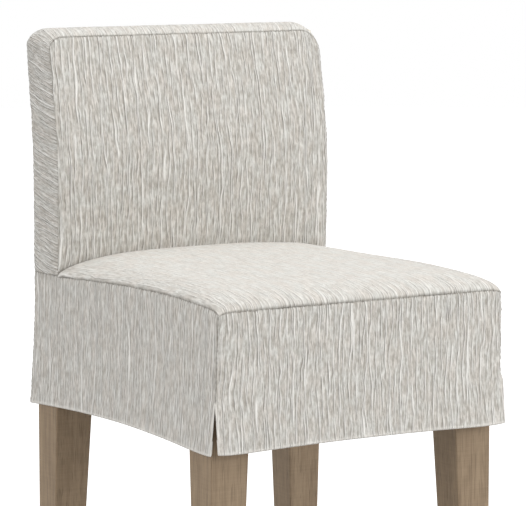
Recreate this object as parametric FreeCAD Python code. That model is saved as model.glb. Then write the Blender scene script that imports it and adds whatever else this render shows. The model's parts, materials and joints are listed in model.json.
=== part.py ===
import FreeCAD, Part
import os

# Slipcovered bar stool: a hardwood frame with a webbed foam seat and back under muslin, and a
# sewn slipcover that lifts off along the lean of the back.
# Millimetres. +Z is up and the sitter faces -Y. Right is +X. The origin is on the floor, under
# the middle of the overall width and depth.

V = FreeCAD.Vector
X_AXIS = V(1, 0, 0)
Y_AXIS = V(0, 1, 0)
Z_AXIS = V(0, 0, 1)

# Slipcover, outside sizes
SEAT_WIDTH = 465.0
SEAT_LENGTH = 450.9
SEAT_SEAM_HEIGHT = 738.0
SEAT_CROWN = 26.0
SKIRT_DROP = 193.0
SKIRT_FLARE = 6.0
VENT_HEIGHT = 74.0
BACK_HEIGHT = 344.0
BACK_THICKNESS = 72.6
BACK_TOP_THICKNESS = 65.8
BACK_LEAN = 17.5
BACK_BEND_HEIGHT = 172.0
LIFT_LEAN = 17.5
BACK_TOP_CROWN = 10.0
BACK_CORNER_RADIUS = 32.0
CLOTH = 1.5

# Fits and clearances
COVER_EASE = 0.8
COVER_FRONT_EASE = 8.0
REST_GAP = 0.3
FRAME_FIT = 0.4
DOWEL_FIT = 0.1
BORE_END_GAP = 0.5
CORNER_RISE = 1.0

# Upholstery
MUSLIN = 0.8
WEBBING = 2.0
WEBBING_WIDTH = 45.0
SEAT_WEBBING_PITCH = 87.0
CROSS_WEBBING_PITCH = 120.0
BACK_WEBBING_PITCH = 110.0
DECK_CLOTH = 0.8
DUST_CLOTH = 0.8
DUST_EDGE = 3.0
STAPLE_LENGTH = 11.0
STAPLE_WIRE = 0.9
STAPLE_PITCH = 60.0

# Hardwood frame
LEG_SIDE = 61.5
LEG_FOOT = 34.0
LEG_ROUNDING = 2.0
FRONT_LEG_SETBACK = 23.6
DECK_DEPTH = 70.0
RAIL_HEIGHT = 70.0
RAIL_THICKNESS = 25.0
POST_THICKNESS = 28.0
POST_SHOULDER = 35.0
POST_TOP_DROP = 22.0
BACK_RAIL_HEIGHT = 58.0
LOWER_BACK_RAIL_LIFT = 10.0
BLOCK_WIDTH = 24.0
BLOCK_HEIGHT = 40.0
BLOCK_LIFT = 8.0
BLOCK_LEG_GAP = 0.4

# Foot level
FOOTREST_TOP = 300.0
FOOTREST_HEIGHT = 40.0
FOOTREST_DEPTH = 26.0
SIDE_STRETCHER_TOP = 225.0
REAR_STRETCHER_TOP = 300.0
STRETCHER_HEIGHT = 36.0
STRETCHER_THICKNESS = 22.0
KICK_PLATE = 1.2
KICK_PLATE_DROP = 26.0
KICK_PLATE_END_GAP = 4.0
KICK_SCREW_PITCH = 130.0
KICK_SCREW_DROP = 13.0
KICK_SCREW_RADIUS = 1.9
KICK_SCREW_LENGTH = 16.0
KICK_HEAD_RADIUS = 4.0
KICK_HEAD_HEIGHT = 2.2

# Dowels, hanger bolts and levelers
RAIL_DOWEL_RADIUS = 5.0
RAIL_DOWEL_LENGTH = 50.0
RAIL_DOWEL_SPREAD = 34.0
BACK_DOWEL_SPREAD = 28.0
STRETCHER_DOWEL_RADIUS = 6.0
STRETCHER_DOWEL_LENGTH = 36.0
BOLT_RADIUS = 4.0
BOLT_IN_LEG = 24.0
BOLT_TAIL = 13.0
NUT_WIDTH = 13.0
NUT_HEIGHT = 6.5
LEVELER_PAD_RADIUS = 11.0
LEVELER_PAD_HEIGHT = 5.6
LEVELER_PAD_CHAMFER = 1.0
LEVELER_PAD_FLOOR = 2.0
LEVELER_STUD_RADIUS = 4.0
LEVELER_THREAD_LEFT = 16.0
LEVELER_TRAVEL = 8.0
INSERT_RADIUS = 6.0
INSERT_LENGTH = 20.0
RUNNING_FIT = 0.1
PRESS_GAP = 0.05

# Levels
hem_z = SEAT_SEAM_HEIGHT - SKIRT_DROP
vent_z = hem_z + VENT_HEIGHT
back_seam_z = SEAT_SEAM_HEIGHT + BACK_HEIGHT
bend_z = SEAT_SEAM_HEIGHT + BACK_BEND_HEIGHT
rail_top = SEAT_SEAM_HEIGHT - DECK_DEPTH
rail_bottom = rail_top - RAIL_HEIGHT
foot_z = LEVELER_PAD_HEIGHT + FRAME_FIT
leveler_stud_top = foot_z + LEVELER_THREAD_LEFT + LEVELER_TRAVEL
long_webbing_z = rail_top
cross_webbing_z = long_webbing_z + WEBBING + REST_GAP
deck_z = cross_webbing_z + WEBBING + REST_GAP
foam_z = deck_z + DECK_CLOTH + REST_GAP

# Plan of the cover, from the front of the hem to the rear of the back's top
half_width = SEAT_WIDTH / 2
overall_depth = SKIRT_FLARE + SEAT_LENGTH + BACK_THICKNESS + BACK_LEAN
seat_front_y = SKIRT_FLARE - overall_depth / 2
inside_back_y = seat_front_y + SEAT_LENGTH
outside_back_y = inside_back_y + BACK_THICKNESS
inside_back_lean = BACK_LEAN + BACK_THICKNESS - BACK_TOP_THICKNESS

# Insets from the cover's outer face: muslin outside, muslin inside, foam, frame
muslin_inset = CLOTH + COVER_EASE
filling_inset = muslin_inset + MUSLIN
foam_inset = filling_inset + REST_GAP
frame_inset = filling_inset + FRAME_FIT

# Plan of the frame
leg_outer_x = half_width - frame_inset
leg_inner_x = leg_outer_x - LEG_SIDE
leg_front_y = seat_front_y + FRONT_LEG_SETBACK
leg_rear_y = outside_back_y - frame_inset
front_leg_back_y = leg_front_y + LEG_SIDE
rear_leg_front_y = leg_rear_y - LEG_SIDE
rail_inner_x = leg_outer_x - RAIL_THICKNESS
post_top = back_seam_z + BACK_TOP_CROWN - POST_TOP_DROP
foam_bottom = rail_top + POST_SHOULDER + REST_GAP
lower_rail_z = foam_bottom + LOWER_BACK_RAIL_LIFT

# Seat cushion under the cover
muslin_front_y = seat_front_y + CLOTH + COVER_FRONT_EASE
muslin_rear_y = inside_back_y - COVER_EASE
muslin_top_z = SEAT_SEAM_HEIGHT - REST_GAP

# Longer than any piece, for cutting tools that run right through
REACH = 2 * (SEAT_WIDTH + overall_depth + back_seam_z)


def above_bend(z):
    """How far up a height lies from the bend of the back to its top seam, from 0 to 1."""
    return max(0.0, z - bend_z) / (back_seam_z - bend_z)


def inside_back_at(z):
    """Outer face of the inside back: upright below the bend, leaning above it."""
    return inside_back_y + inside_back_lean * above_bend(z)


def outside_back_at(z):
    """Outer face of the outside back: upright below the bend, leaning above it."""
    return outside_back_y + BACK_LEAN * above_bend(z)


def pad_front_at(z):
    """Front of the padded back, less its inset: one straight slope, which the cover clears as it lifts."""
    return inside_back_y + inside_back_lean * max(0.0, z - SEAT_SEAM_HEIGHT) / BACK_HEIGHT


def pad_rear_at(z):
    """Rear of the padded back, less its inset: above the bend it runs along the cover's lift."""
    return outside_back_y + LIFT_LEAN * max(0.0, z - bend_z) / BACK_HEIGHT


def post_rear_at(z):
    return pad_rear_at(z) - frame_inset


def post_front_at(z):
    return post_rear_at(z) - POST_THICKNESS


def leg_width_at(z):
    """Side of the square leg at a height below the seat rails."""
    return LEG_FOOT + (LEG_SIDE - LEG_FOOT) * (z - foot_z) / (rail_bottom - foot_z)


def block(low, high):
    """A box between two corners."""
    return Part.makeBox(high[0] - low[0], high[1] - low[1], high[2] - low[2], V(*low))


def along_x(section, low, high):
    """A closed outline of (y, z) points, run along X from low to high."""
    face = Part.Face(Part.makePolygon([V(low, y, z) for y, z in section + section[:1]]))
    return face.extrude(V(high - low, 0, 0))


def along_y(section, low, high):
    """A closed outline of (x, z) points, run along Y from low to high."""
    face = Part.Face(Part.makePolygon([V(x, low, z) for x, z in section + section[:1]]))
    return face.extrude(V(0, high - low, 0))


def along_z(section, low, high):
    """A closed outline of (x, y) points, run along Z from low to high."""
    face = Part.Face(Part.makePolygon([V(x, y, low) for x, y in section + section[:1]]))
    return face.extrude(V(0, 0, high - low))


def mirrored(shape):
    return shape.mirror(V(0, 0, 0), X_AXIS)


def both_sides(shapes):
    """Right-hand solids and their left-hand mirrors, as one group."""
    return Part.makeCompound(shapes + [mirrored(shape) for shape in shapes])


def save(name, shape):
    """Write a node, after a test that each of its solids is whole."""
    solids = shape.Solids
    if not solids or not shape.isValid() or min(solid.Volume for solid in solids) <= 0:
        raise ValueError(f"{name} is not a whole solid")
    print(f"{name}: {len(solids)} solids, {shape.Volume / 1000:.1f} cm3")
    shape.exportStep(f"parts/{name}.step")


def save_pair(name, right_shape):
    save(f"{name}_right", right_shape)
    save(f"{name}_left", mirrored(right_shape))


# Back slab and seat dome, which every layer repeats at its own inset


# Front face and where it turns, rear face and where it turns, rise of the crowned top
COVER_FACES = (inside_back_at, bend_z, outside_back_at, bend_z, BACK_TOP_CROWN)
PAD_FACES = (pad_front_at, SEAT_SEAM_HEIGHT, pad_rear_at, bend_z, BACK_TOP_CROWN - 2 * COVER_EASE)


def back_section(faces, inset, bottom):
    """Side view of the back, run along X: upright, then leaning, with a crowned top."""
    front_at, front_turn, rear_at, rear_turn, crown = faces
    top = back_seam_z - inset
    front = [V(-REACH, front_at(z) + inset, z) for z in (bottom, front_turn, top)]
    rear = [V(-REACH, rear_at(z) - inset, z) for z in (top, rear_turn, bottom)]
    crest = (front[-1] + rear[0]) / 2 + V(0, 0, crown)
    edges = [Part.makeLine(start, end) for start, end in zip(front, front[1:])]
    edges.append(Part.Arc(front[-1], crest, rear[0]).toShape())
    edges += [Part.makeLine(start, end) for start, end in zip(rear, rear[1:] + front[:1])]
    return Part.Face(Part.Wire(edges)).extrude(V(2 * REACH, 0, 0))


def back_outline(inset, bottom):
    """Front view of the back, run along Y: a straight-sided panel with round top corners."""
    half = half_width - inset
    top = back_seam_z + BACK_TOP_CROWN + CORNER_RISE - inset
    radius = BACK_CORNER_RADIUS - inset
    bend = radius * (1 - 0.5 ** 0.5)
    left_low = V(-half, -REACH, bottom)
    left_high = V(-half, -REACH, top - radius)
    left_mid = V(-half + bend, -REACH, top - bend)
    left_top = V(-half + radius, -REACH, top)
    right_top = V(half - radius, -REACH, top)
    right_mid = V(half - bend, -REACH, top - bend)
    right_high = V(half, -REACH, top - radius)
    right_low = V(half, -REACH, bottom)
    edges = [
        Part.makeLine(left_low, left_high),
        Part.Arc(left_high, left_mid, left_top).toShape(),
        Part.makeLine(left_top, right_top),
        Part.Arc(right_top, right_mid, right_high).toShape(),
        Part.makeLine(right_high, right_low),
        Part.makeLine(right_low, left_low),
    ]
    return Part.Face(Part.Wire(edges)).extrude(V(0, 2 * REACH, 0))


def back_slab(faces, inset, bottom):
    return back_section(faces, inset, bottom).common(back_outline(inset, bottom))


def seat_dome(half, front, rear, edge_z):
    """The seat's crowned surface: level at the front and side seams, arched where it meets the back."""
    steps = 8
    rows = []
    for i in range(steps + 1):
        across = 2 * i / steps - 1
        row = []
        for j in range(steps + 1):
            along = j / steps
            front_rise = 1 - (1 - min(1.0, along / 0.6)) ** 2.5
            rise = SEAT_CROWN * (1 - abs(across) ** 2.5) * front_rise
            row.append(V(half * across, front + (rear - front) * along, edge_z + rise))
        rows.append(row)
    surface = Part.BSplineSurface()
    surface.interpolate(rows)
    return surface.toShape()


def seat_block(half, front, rear, edge_z, bottom):
    """A block with the seat's crowned top and a flat bottom."""
    column = seat_dome(half, front, rear, edge_z).extrude(V(0, 0, -REACH))
    return column.common(block((-REACH, -REACH, bottom), (REACH, REACH, REACH)))


# Dowels, bolts and levelers of the right-hand side


def peg(centre, axis, radius, length):
    return Part.makeCylinder(radius, length, centre - axis * (length / 2), axis)


def peg_bore(centre, axis, radius, length):
    return peg(centre, axis, radius + DOWEL_FIT, length + 2 * BORE_END_GAP)


def dowel_pair(x, y, z, axis, spread):
    """Two rail dowels, one above the other."""
    return [
        (V(x, y, z + side * spread / 2), axis, RAIL_DOWEL_RADIUS, RAIL_DOWEL_LENGTH)
        for side in (-1, 1)
    ]


rail_mid_z = (rail_top + rail_bottom) / 2
front_rail_y = leg_front_y + RAIL_THICKNESS / 2
rear_rail_y = leg_rear_y - RAIL_THICKNESS / 2
side_rail_x = leg_outer_x - RAIL_THICKNESS / 2
front_rail_dowels = dowel_pair(leg_inner_x, front_rail_y, rail_mid_z, X_AXIS, RAIL_DOWEL_SPREAD)
rear_rail_dowels = dowel_pair(leg_inner_x, rear_rail_y, rail_mid_z, X_AXIS, RAIL_DOWEL_SPREAD)
side_front_dowels = dowel_pair(side_rail_x, front_leg_back_y, rail_mid_z, Y_AXIS, RAIL_DOWEL_SPREAD)
side_rear_dowels = dowel_pair(side_rail_x, rear_leg_front_y, rail_mid_z, Y_AXIS, RAIL_DOWEL_SPREAD)


def back_rail_dowels(rail_z):
    mid = rail_z + BACK_RAIL_HEIGHT / 2
    y = post_rear_at(mid) - POST_THICKNESS / 2
    return dowel_pair(leg_inner_x, y, mid, X_AXIS, BACK_DOWEL_SPREAD)


upper_rail_z = post_top - BACK_RAIL_HEIGHT
upper_rail_dowels = back_rail_dowels(upper_rail_z)
lower_rail_dowels = back_rail_dowels(lower_rail_z)


def stretcher_dowel(x, y, z, axis):
    return (V(x, y, z), axis, STRETCHER_DOWEL_RADIUS, STRETCHER_DOWEL_LENGTH)


footrest_z = FOOTREST_TOP - FOOTREST_HEIGHT / 2
side_stretcher_z = SIDE_STRETCHER_TOP - STRETCHER_HEIGHT / 2
rear_stretcher_z = REAR_STRETCHER_TOP - STRETCHER_HEIGHT / 2
footrest_y = leg_front_y + leg_width_at(footrest_z) / 2
rear_stretcher_y = leg_rear_y - leg_width_at(rear_stretcher_z) / 2
side_leg_width = leg_width_at(side_stretcher_z)
side_stretcher_x = leg_outer_x - side_leg_width / 2
footrest_dowel = stretcher_dowel(leg_outer_x - leg_width_at(footrest_z), footrest_y, footrest_z, X_AXIS)
rear_stretcher_dowel = stretcher_dowel(
    leg_outer_x - leg_width_at(rear_stretcher_z), rear_stretcher_y, rear_stretcher_z, X_AXIS
)
side_stretcher_dowels = [
    stretcher_dowel(side_stretcher_x, leg_front_y + side_leg_width, side_stretcher_z, Y_AXIS),
    stretcher_dowel(side_stretcher_x, leg_rear_y - side_leg_width, side_stretcher_z, Y_AXIS),
]

rail_dowels = front_rail_dowels + rear_rail_dowels + side_front_dowels + side_rear_dowels
back_dowels = upper_rail_dowels + lower_rail_dowels
stretcher_dowels = [footrest_dowel, rear_stretcher_dowel] + side_stretcher_dowels


def bored(shape, right_specs, both=False):
    """Bore a piece for its dowels, on the right or on both sides."""
    for spec in right_specs:
        bore = peg_bore(*spec)
        shape = shape.cut(bore)
        if both:
            shape = shape.cut(mirrored(bore))
    return shape


# A corner block lies across each inside corner of the seat rails, square to a hanger bolt in the leg.
# near and far are the places where its two long faces meet the rails.
block_near = 2 * (LEG_SIDE - RAIL_THICKNESS) + BLOCK_LEG_GAP
block_far = block_near + BLOCK_WIDTH * 2 ** 0.5
bolt_z = rail_bottom + BLOCK_LIFT + BLOCK_HEIGHT / 2
right_corners = {
    "front": (V(rail_inner_x, leg_front_y + RAIL_THICKNESS, bolt_z), V(-1, 1, 0)),
    "rear": (V(rail_inner_x, leg_rear_y - RAIL_THICKNESS, bolt_z), V(-1, -1, 0)),
}


def bolt_parts(corner, inward):
    """Start, direction and length of a hanger bolt, and where its nut sits on the block."""
    direction = V(inward)
    direction.normalize()
    leg_corner = corner + inward * (LEG_SIDE - RAIL_THICKNESS)
    start = leg_corner - direction * BOLT_IN_LEG
    seat = corner + inward * (block_far / 2)
    return start, direction, BOLT_IN_LEG + (seat - leg_corner).Length + BOLT_TAIL, seat


def hanger_bolt(corner, inward):
    start, direction, length, seat = bolt_parts(corner, inward)
    return Part.makeCylinder(BOLT_RADIUS, length, start, direction)


def bolt_bore(corner, inward):
    start, direction, length, seat = bolt_parts(corner, inward)
    back = direction * BORE_END_GAP
    return Part.makeCylinder(BOLT_RADIUS + DOWEL_FIT, length + 2 * BORE_END_GAP, start - back, direction)


def hanger_nut(corner, inward):
    """A hexagon nut, flat on the corner block's inner face."""
    start, direction, length, seat = bolt_parts(corner, inward)
    blank = Part.makeCylinder(NUT_WIDTH, NUT_HEIGHT)
    flat_cut = Part.makeBox(4 * NUT_WIDTH, 4 * NUT_WIDTH, NUT_HEIGHT, V(NUT_WIDTH / 2, -2 * NUT_WIDTH, 0))
    for i in range(6):
        tool = flat_cut.copy()
        tool.rotate(V(0, 0, 0), Z_AXIS, 60 * i)
        blank = blank.cut(tool)
    blank = blank.cut(Part.makeCylinder(BOLT_RADIUS + DOWEL_FIT, NUT_HEIGHT))
    blank.Placement = FreeCAD.Placement(seat, FreeCAD.Rotation(Z_AXIS, direction))
    return blank


def corner_block(corner, inward):
    x_step = inward.x
    y_step = inward.y
    section = [
        (corner.x + x_step * block_near, corner.y),
        (corner.x + x_step * block_far, corner.y),
        (corner.x, corner.y + y_step * block_far),
        (corner.x, corner.y + y_step * block_near),
    ]
    low = rail_bottom + BLOCK_LIFT
    return along_z(section, low, low + BLOCK_HEIGHT).cut(bolt_bore(corner, inward))


right_feet = {
    "front": (leg_outer_x - LEG_FOOT / 2, leg_front_y + LEG_FOOT / 2),
    "rear": (leg_outer_x - LEG_FOOT / 2, leg_rear_y - LEG_FOOT / 2),
}


def leveler_bore(x, y):
    """Hole in a leg's foot: wide for the insert, then clear for the stud."""
    wide = Part.makeCylinder(INSERT_RADIUS + PRESS_GAP, INSERT_LENGTH, V(x, y, foot_z))
    depth = leveler_stud_top + BORE_END_GAP - foot_z
    clear = Part.makeCylinder(LEVELER_STUD_RADIUS + RUNNING_FIT, depth, V(x, y, foot_z))
    return wide.fuse(clear)


def leveler_insert(x, y):
    """A threaded sleeve, flush with the foot."""
    sleeve = Part.makeCylinder(INSERT_RADIUS, INSERT_LENGTH, V(x, y, foot_z))
    return sleeve.cut(Part.makeCylinder(LEVELER_STUD_RADIUS + RUNNING_FIT, INSERT_LENGTH, V(x, y, foot_z)))


def leveler_stud(x, y):
    height = leveler_stud_top - LEVELER_PAD_FLOOR
    return Part.makeCylinder(LEVELER_STUD_RADIUS, height, V(x, y, LEVELER_PAD_FLOOR))


def leveler_pad(x, y):
    """A round pad with a bevelled sole, moulded round the foot of its stud."""
    bevel = Part.makeCone(
        LEVELER_PAD_RADIUS - LEVELER_PAD_CHAMFER, LEVELER_PAD_RADIUS, LEVELER_PAD_CHAMFER, V(x, y, 0)
    )
    height = LEVELER_PAD_HEIGHT - LEVELER_PAD_CHAMFER
    disc = Part.makeCylinder(LEVELER_PAD_RADIUS, height, V(x, y, LEVELER_PAD_CHAMFER))
    socket = Part.makeCylinder(LEVELER_STUD_RADIUS + PRESS_GAP, REACH, V(x, y, LEVELER_PAD_FLOOR))
    return bevel.fuse(disc).removeSplitter().cut(socket)


# Legs


def square(x_low, y_low, side, z):
    points = [V(x_low, y_low, z), V(x_low + side, y_low, z)]
    points += [V(x_low + side, y_low + side, z), V(x_low, y_low + side, z)]
    return Part.makePolygon(points + points[:1])


def leg_shaft(foot_y, top_y):
    """The leg below the rails: outer faces upright, inner faces tapered, long edges eased."""
    foot = square(leg_outer_x - LEG_FOOT, foot_y, LEG_FOOT, foot_z)
    top = square(leg_inner_x, top_y, LEG_SIDE, rail_bottom)
    shaft = Part.makeLoft([foot, top], True, True)
    long_edges = [edge for edge in shaft.Edges if edge.BoundBox.ZLength > LEG_SIDE]
    return shaft.makeFillet(LEG_ROUNDING, long_edges)


def front_leg():
    head = block((leg_inner_x, leg_front_y, rail_bottom), (leg_outer_x, front_leg_back_y, rail_top))
    return leg_shaft(leg_front_y, leg_front_y).fuse(head)


def rear_leg():
    """The leg and the back post in one length."""
    shoulder = rail_top + POST_SHOULDER
    section = [
        (rear_leg_front_y, rail_bottom),
        (rear_leg_front_y, rail_top),
        (post_front_at(shoulder), shoulder),
        (post_front_at(bend_z), bend_z),
        (post_front_at(post_top), post_top),
        (post_rear_at(post_top), post_top),
        (post_rear_at(bend_z), bend_z),
        (leg_rear_y, rail_bottom),
    ]
    post = along_x(section, leg_inner_x, leg_outer_x).common(back_outline(frame_inset, rail_bottom))
    return leg_shaft(leg_rear_y - LEG_FOOT, rear_leg_front_y).fuse(post)


def finished_leg(shape, place, specs):
    """Bore a right-hand leg for its dowels, hanger bolt and leveler."""
    shape = bored(shape, specs)
    shape = shape.cut(bolt_bore(*right_corners[place]))
    return shape.cut(leveler_bore(*right_feet[place]))


# Rails and stretchers


def front_seat_rail():
    low = (-leg_inner_x, leg_front_y, rail_bottom)
    high = (leg_inner_x, leg_front_y + RAIL_THICKNESS, rail_top)
    return bored(block(low, high), front_rail_dowels, both=True)


def rear_seat_rail():
    low = (-leg_inner_x, leg_rear_y - RAIL_THICKNESS, rail_bottom)
    high = (leg_inner_x, leg_rear_y, rail_top)
    return bored(block(low, high), rear_rail_dowels, both=True)


def side_seat_rail():
    low = (rail_inner_x, front_leg_back_y, rail_bottom)
    high = (leg_outer_x, rear_leg_front_y, rail_top)
    return bored(block(low, high), side_front_dowels + side_rear_dowels)


def back_rail(low_z, specs):
    """A rail between the back posts, leaning with them."""
    high_z = low_z + BACK_RAIL_HEIGHT
    heights = [low_z, high_z]
    if low_z < bend_z < high_z:
        heights.insert(1, bend_z)
    section = [(post_front_at(z), z) for z in heights]
    section += [(post_rear_at(z), z) for z in reversed(heights)]
    return bored(along_x(section, -leg_inner_x, leg_inner_x), specs, both=True)


def cross_stretcher(y, depth, top, height, legs, spec):
    """A stretcher from the left leg to the right leg, its ends cut to their tapered faces."""
    end = leg_outer_x - LEG_FOOT / 2
    rail = block((-end, y - depth / 2, top - height), (end, y + depth / 2, top))
    for leg in legs:
        rail = rail.cut(leg).cut(mirrored(leg))
    return bored(rail, [spec], both=True)


def side_stretcher(legs):
    """A stretcher from the front leg to the rear leg, its ends cut to their tapered faces."""
    half = STRETCHER_THICKNESS / 2
    bottom = SIDE_STRETCHER_TOP - STRETCHER_HEIGHT
    low = (side_stretcher_x - half, right_feet["front"][1], bottom)
    high = (side_stretcher_x + half, right_feet["rear"][1], SIDE_STRETCHER_TOP)
    rail = block(low, high)
    for leg in legs:
        rail = rail.cut(leg)
    return bored(rail, side_stretcher_dowels)


# Kick plate on the footrest

footrest_front_y = footrest_y - FOOTREST_DEPTH / 2
kick_screw_z = FOOTREST_TOP - KICK_SCREW_DROP
kick_screw_places = [V(i * KICK_SCREW_PITCH, footrest_front_y, kick_screw_z) for i in (-1, 0, 1)]


def kick_plate():
    """A folded strip over the footrest's top and front edge."""
    front = footrest_front_y
    section = [
        (front, FOOTREST_TOP),
        (front + FOOTREST_DEPTH, FOOTREST_TOP),
        (front + FOOTREST_DEPTH, FOOTREST_TOP + KICK_PLATE),
        (front - KICK_PLATE, FOOTREST_TOP + KICK_PLATE),
        (front - KICK_PLATE, FOOTREST_TOP - KICK_PLATE_DROP),
        (front, FOOTREST_TOP - KICK_PLATE_DROP),
    ]
    end = leg_outer_x - leg_width_at(FOOTREST_TOP + KICK_PLATE) - KICK_PLATE_END_GAP
    return kick_bored(along_x(section, -end, end))


def kick_bored(shape):
    for place in kick_screw_places:
        start = place - Y_AXIS * (2 * KICK_PLATE)
        depth = KICK_SCREW_LENGTH + 2 * KICK_PLATE + BORE_END_GAP
        shape = shape.cut(Part.makeCylinder(KICK_SCREW_RADIUS + DOWEL_FIT, depth, start, Y_AXIS))
    return shape


def kick_screw(place):
    """A pan-head screw whose head bears on the plate's front."""
    bearing = place - Y_AXIS * KICK_PLATE
    head = Part.makeCylinder(KICK_HEAD_RADIUS, KICK_HEAD_HEIGHT, bearing, V(0, -1, 0))
    shank = Part.makeCylinder(KICK_SCREW_RADIUS, KICK_SCREW_LENGTH + KICK_PLATE, bearing, Y_AXIS)
    return head.fuse(shank)


# Seat upholstery


def seat_webbing_lengthwise():
    """Straps from the front rail to the rear rail."""
    straps = []
    for i in (-1.5, -0.5, 0.5, 1.5):
        x = i * SEAT_WEBBING_PITCH
        low = (x - WEBBING_WIDTH / 2, leg_front_y, long_webbing_z)
        straps.append(block(low, (x + WEBBING_WIDTH / 2, leg_rear_y, long_webbing_z + WEBBING)))
    return Part.makeCompound(straps)


def seat_webbing_crosswise():
    """Straps from the left rail to the right rail, over the lengthwise ones."""
    middle = (front_leg_back_y + rear_leg_front_y) / 2
    straps = []
    for i in (-1, 0, 1):
        y = middle + i * CROSS_WEBBING_PITCH
        low = (-leg_outer_x, y - WEBBING_WIDTH / 2, cross_webbing_z)
        straps.append(block(low, (leg_outer_x, y + WEBBING_WIDTH / 2, cross_webbing_z + WEBBING)))
    return Part.makeCompound(straps)


def seat_deck_cloth():
    low = (-leg_outer_x, leg_front_y, deck_z)
    return block(low, (leg_outer_x, muslin_rear_y - MUSLIN - REST_GAP, deck_z + DECK_CLOTH))


def seat_foam():
    half = half_width - foam_inset
    front = muslin_front_y + MUSLIN + REST_GAP
    rear = muslin_rear_y - MUSLIN - REST_GAP
    return seat_block(half, front, rear, muslin_top_z - MUSLIN - REST_GAP, foam_z)


def front_rail_pad():
    """A strip of foam that fills out the front rail to the cushion's front."""
    half = half_width - foam_inset
    low = (-half, muslin_front_y + MUSLIN + REST_GAP, rail_bottom)
    return block(low, (half, leg_front_y, foam_z - REST_GAP))


def seat_muslin():
    """The sewn under-cover: over the foam and down the rails, open below."""
    half = half_width - muslin_inset
    outer = seat_block(half, muslin_front_y, muslin_rear_y, muslin_top_z, rail_bottom)
    inner = seat_block(
        half - MUSLIN, muslin_front_y + MUSLIN, muslin_rear_y - MUSLIN, muslin_top_z - MUSLIN, 0
    )
    under_back = block((-REACH, muslin_rear_y - MUSLIN, 0), (REACH, REACH, foam_z))
    return outer.cut(inner).cut(under_back)


def dust_cover():
    """Thin black cloth under the seat rails, notched round the legs."""
    half = leg_outer_x - DUST_EDGE
    low_z = rail_bottom - DUST_CLOTH
    sheet = block((-half, leg_front_y + DUST_EDGE, low_z), (half, leg_rear_y - DUST_EDGE, rail_bottom))
    notch_x = leg_inner_x - FRAME_FIT
    front_notch = block((notch_x, -REACH, 0), (REACH, front_leg_back_y + FRAME_FIT, rail_bottom))
    rear_notch = block((notch_x, rear_leg_front_y - FRAME_FIT, 0), (REACH, REACH, rail_bottom))
    for notch in (front_notch, rear_notch):
        sheet = sheet.cut(notch).cut(mirrored(notch))
    return sheet


def dust_cover_staples():
    """Staples through the dust cover into the four rails."""
    top = rail_bottom - DUST_CLOTH
    staples = []
    for i in (-2, -1, 0, 1, 2):
        x = i * STAPLE_PITCH
        for y in (front_rail_y, rear_rail_y):
            low = (x - STAPLE_LENGTH / 2, y - STAPLE_WIRE / 2, top - STAPLE_WIRE)
            staples.append(block(low, (x + STAPLE_LENGTH / 2, y + STAPLE_WIRE / 2, top)))
        y = (front_leg_back_y + rear_leg_front_y) / 2 + i * STAPLE_PITCH
        for x_side in (-side_rail_x, side_rail_x):
            low = (x_side - STAPLE_WIRE / 2, y - STAPLE_LENGTH / 2, top - STAPLE_WIRE)
            staples.append(block(low, (x_side + STAPLE_WIRE / 2, y + STAPLE_LENGTH / 2, top)))
    return Part.makeCompound(staples)


# Back upholstery


def before_posts(gap, bottom):
    """All the space in front of the back posts, less a gap, above a height."""
    section = [
        (-REACH, bottom),
        (-REACH, REACH),
        (post_front_at(back_seam_z) - gap, REACH),
        (post_front_at(back_seam_z) - gap, back_seam_z),
        (post_front_at(bend_z) - gap, bend_z),
        (post_front_at(bend_z) - gap, bottom),
    ]
    return along_x(section, -REACH, REACH)


foam_gap = REST_GAP + WEBBING + REST_GAP


def back_webbing():
    """Straps up the front of the back rails."""
    zone = before_posts(REST_GAP, lower_rail_z).cut(before_posts(REST_GAP + WEBBING, 0))
    straps = []
    for i in (-1, 0, 1):
        x = i * BACK_WEBBING_PITCH
        low = (x - WEBBING_WIDTH / 2, -REACH, lower_rail_z)
        straps.append(zone.common(block(low, (x + WEBBING_WIDTH / 2, REACH, post_top))))
    return Part.makeCompound(straps)


def back_foam():
    return back_slab(PAD_FACES, foam_inset, foam_bottom).common(before_posts(foam_gap, foam_bottom))


def back_top_pad():
    """A strip of padding over the upper rail, behind the foam."""
    above = block((-REACH, -REACH, post_top + REST_GAP), (REACH, REACH, REACH))
    strip = back_slab(PAD_FACES, foam_inset, foam_bottom).common(above)
    return strip.cut(before_posts(foam_gap - REST_GAP, 0))


def back_muslin():
    """The sewn under-cover of the back, open below."""
    shell = back_slab(PAD_FACES, muslin_inset, rail_bottom).cut(back_slab(PAD_FACES, filling_inset, 0))
    front_edge = inside_back_y + filling_inset + REST_GAP
    return shell.cut(block((-REACH, -REACH, 0), (REACH, front_edge, foam_z)))


# Slipcover


def hanging_strip(outward_at_hem, face, inward):
    """Section of a skirt panel as (offset, z): upright to the vent, then flared to the hem."""
    return [
        (face, SEAT_SEAM_HEIGHT),
        (face, vent_z),
        (outward_at_hem, hem_z),
        (outward_at_hem + inward, hem_z),
        (face + inward, vent_z),
        (face + inward, SEAT_SEAM_HEIGHT),
    ]


def cover_front_skirt():
    section = hanging_strip(seat_front_y - SKIRT_FLARE, seat_front_y, CLOTH)
    return along_x(section, -half_width, half_width)


def cover_side_skirt():
    section = hanging_strip(half_width + SKIRT_FLARE, half_width, -CLOTH)
    return along_y(section, seat_front_y + CLOTH, outside_back_y - CLOTH)


def cover_seat_top():
    dome = seat_dome(half_width, seat_front_y, inside_back_y, SEAT_SEAM_HEIGHT + CLOTH)
    return dome.extrude(V(0, 0, -CLOTH))


def cover_inside_back():
    heights = (SEAT_SEAM_HEIGHT, bend_z, back_seam_z)
    section = [(inside_back_at(z), z) for z in heights]
    section += [(inside_back_at(z) + CLOTH, z) for z in reversed(heights)]
    return along_x(section, -half_width, half_width).common(back_outline(0, SEAT_SEAM_HEIGHT))


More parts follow.
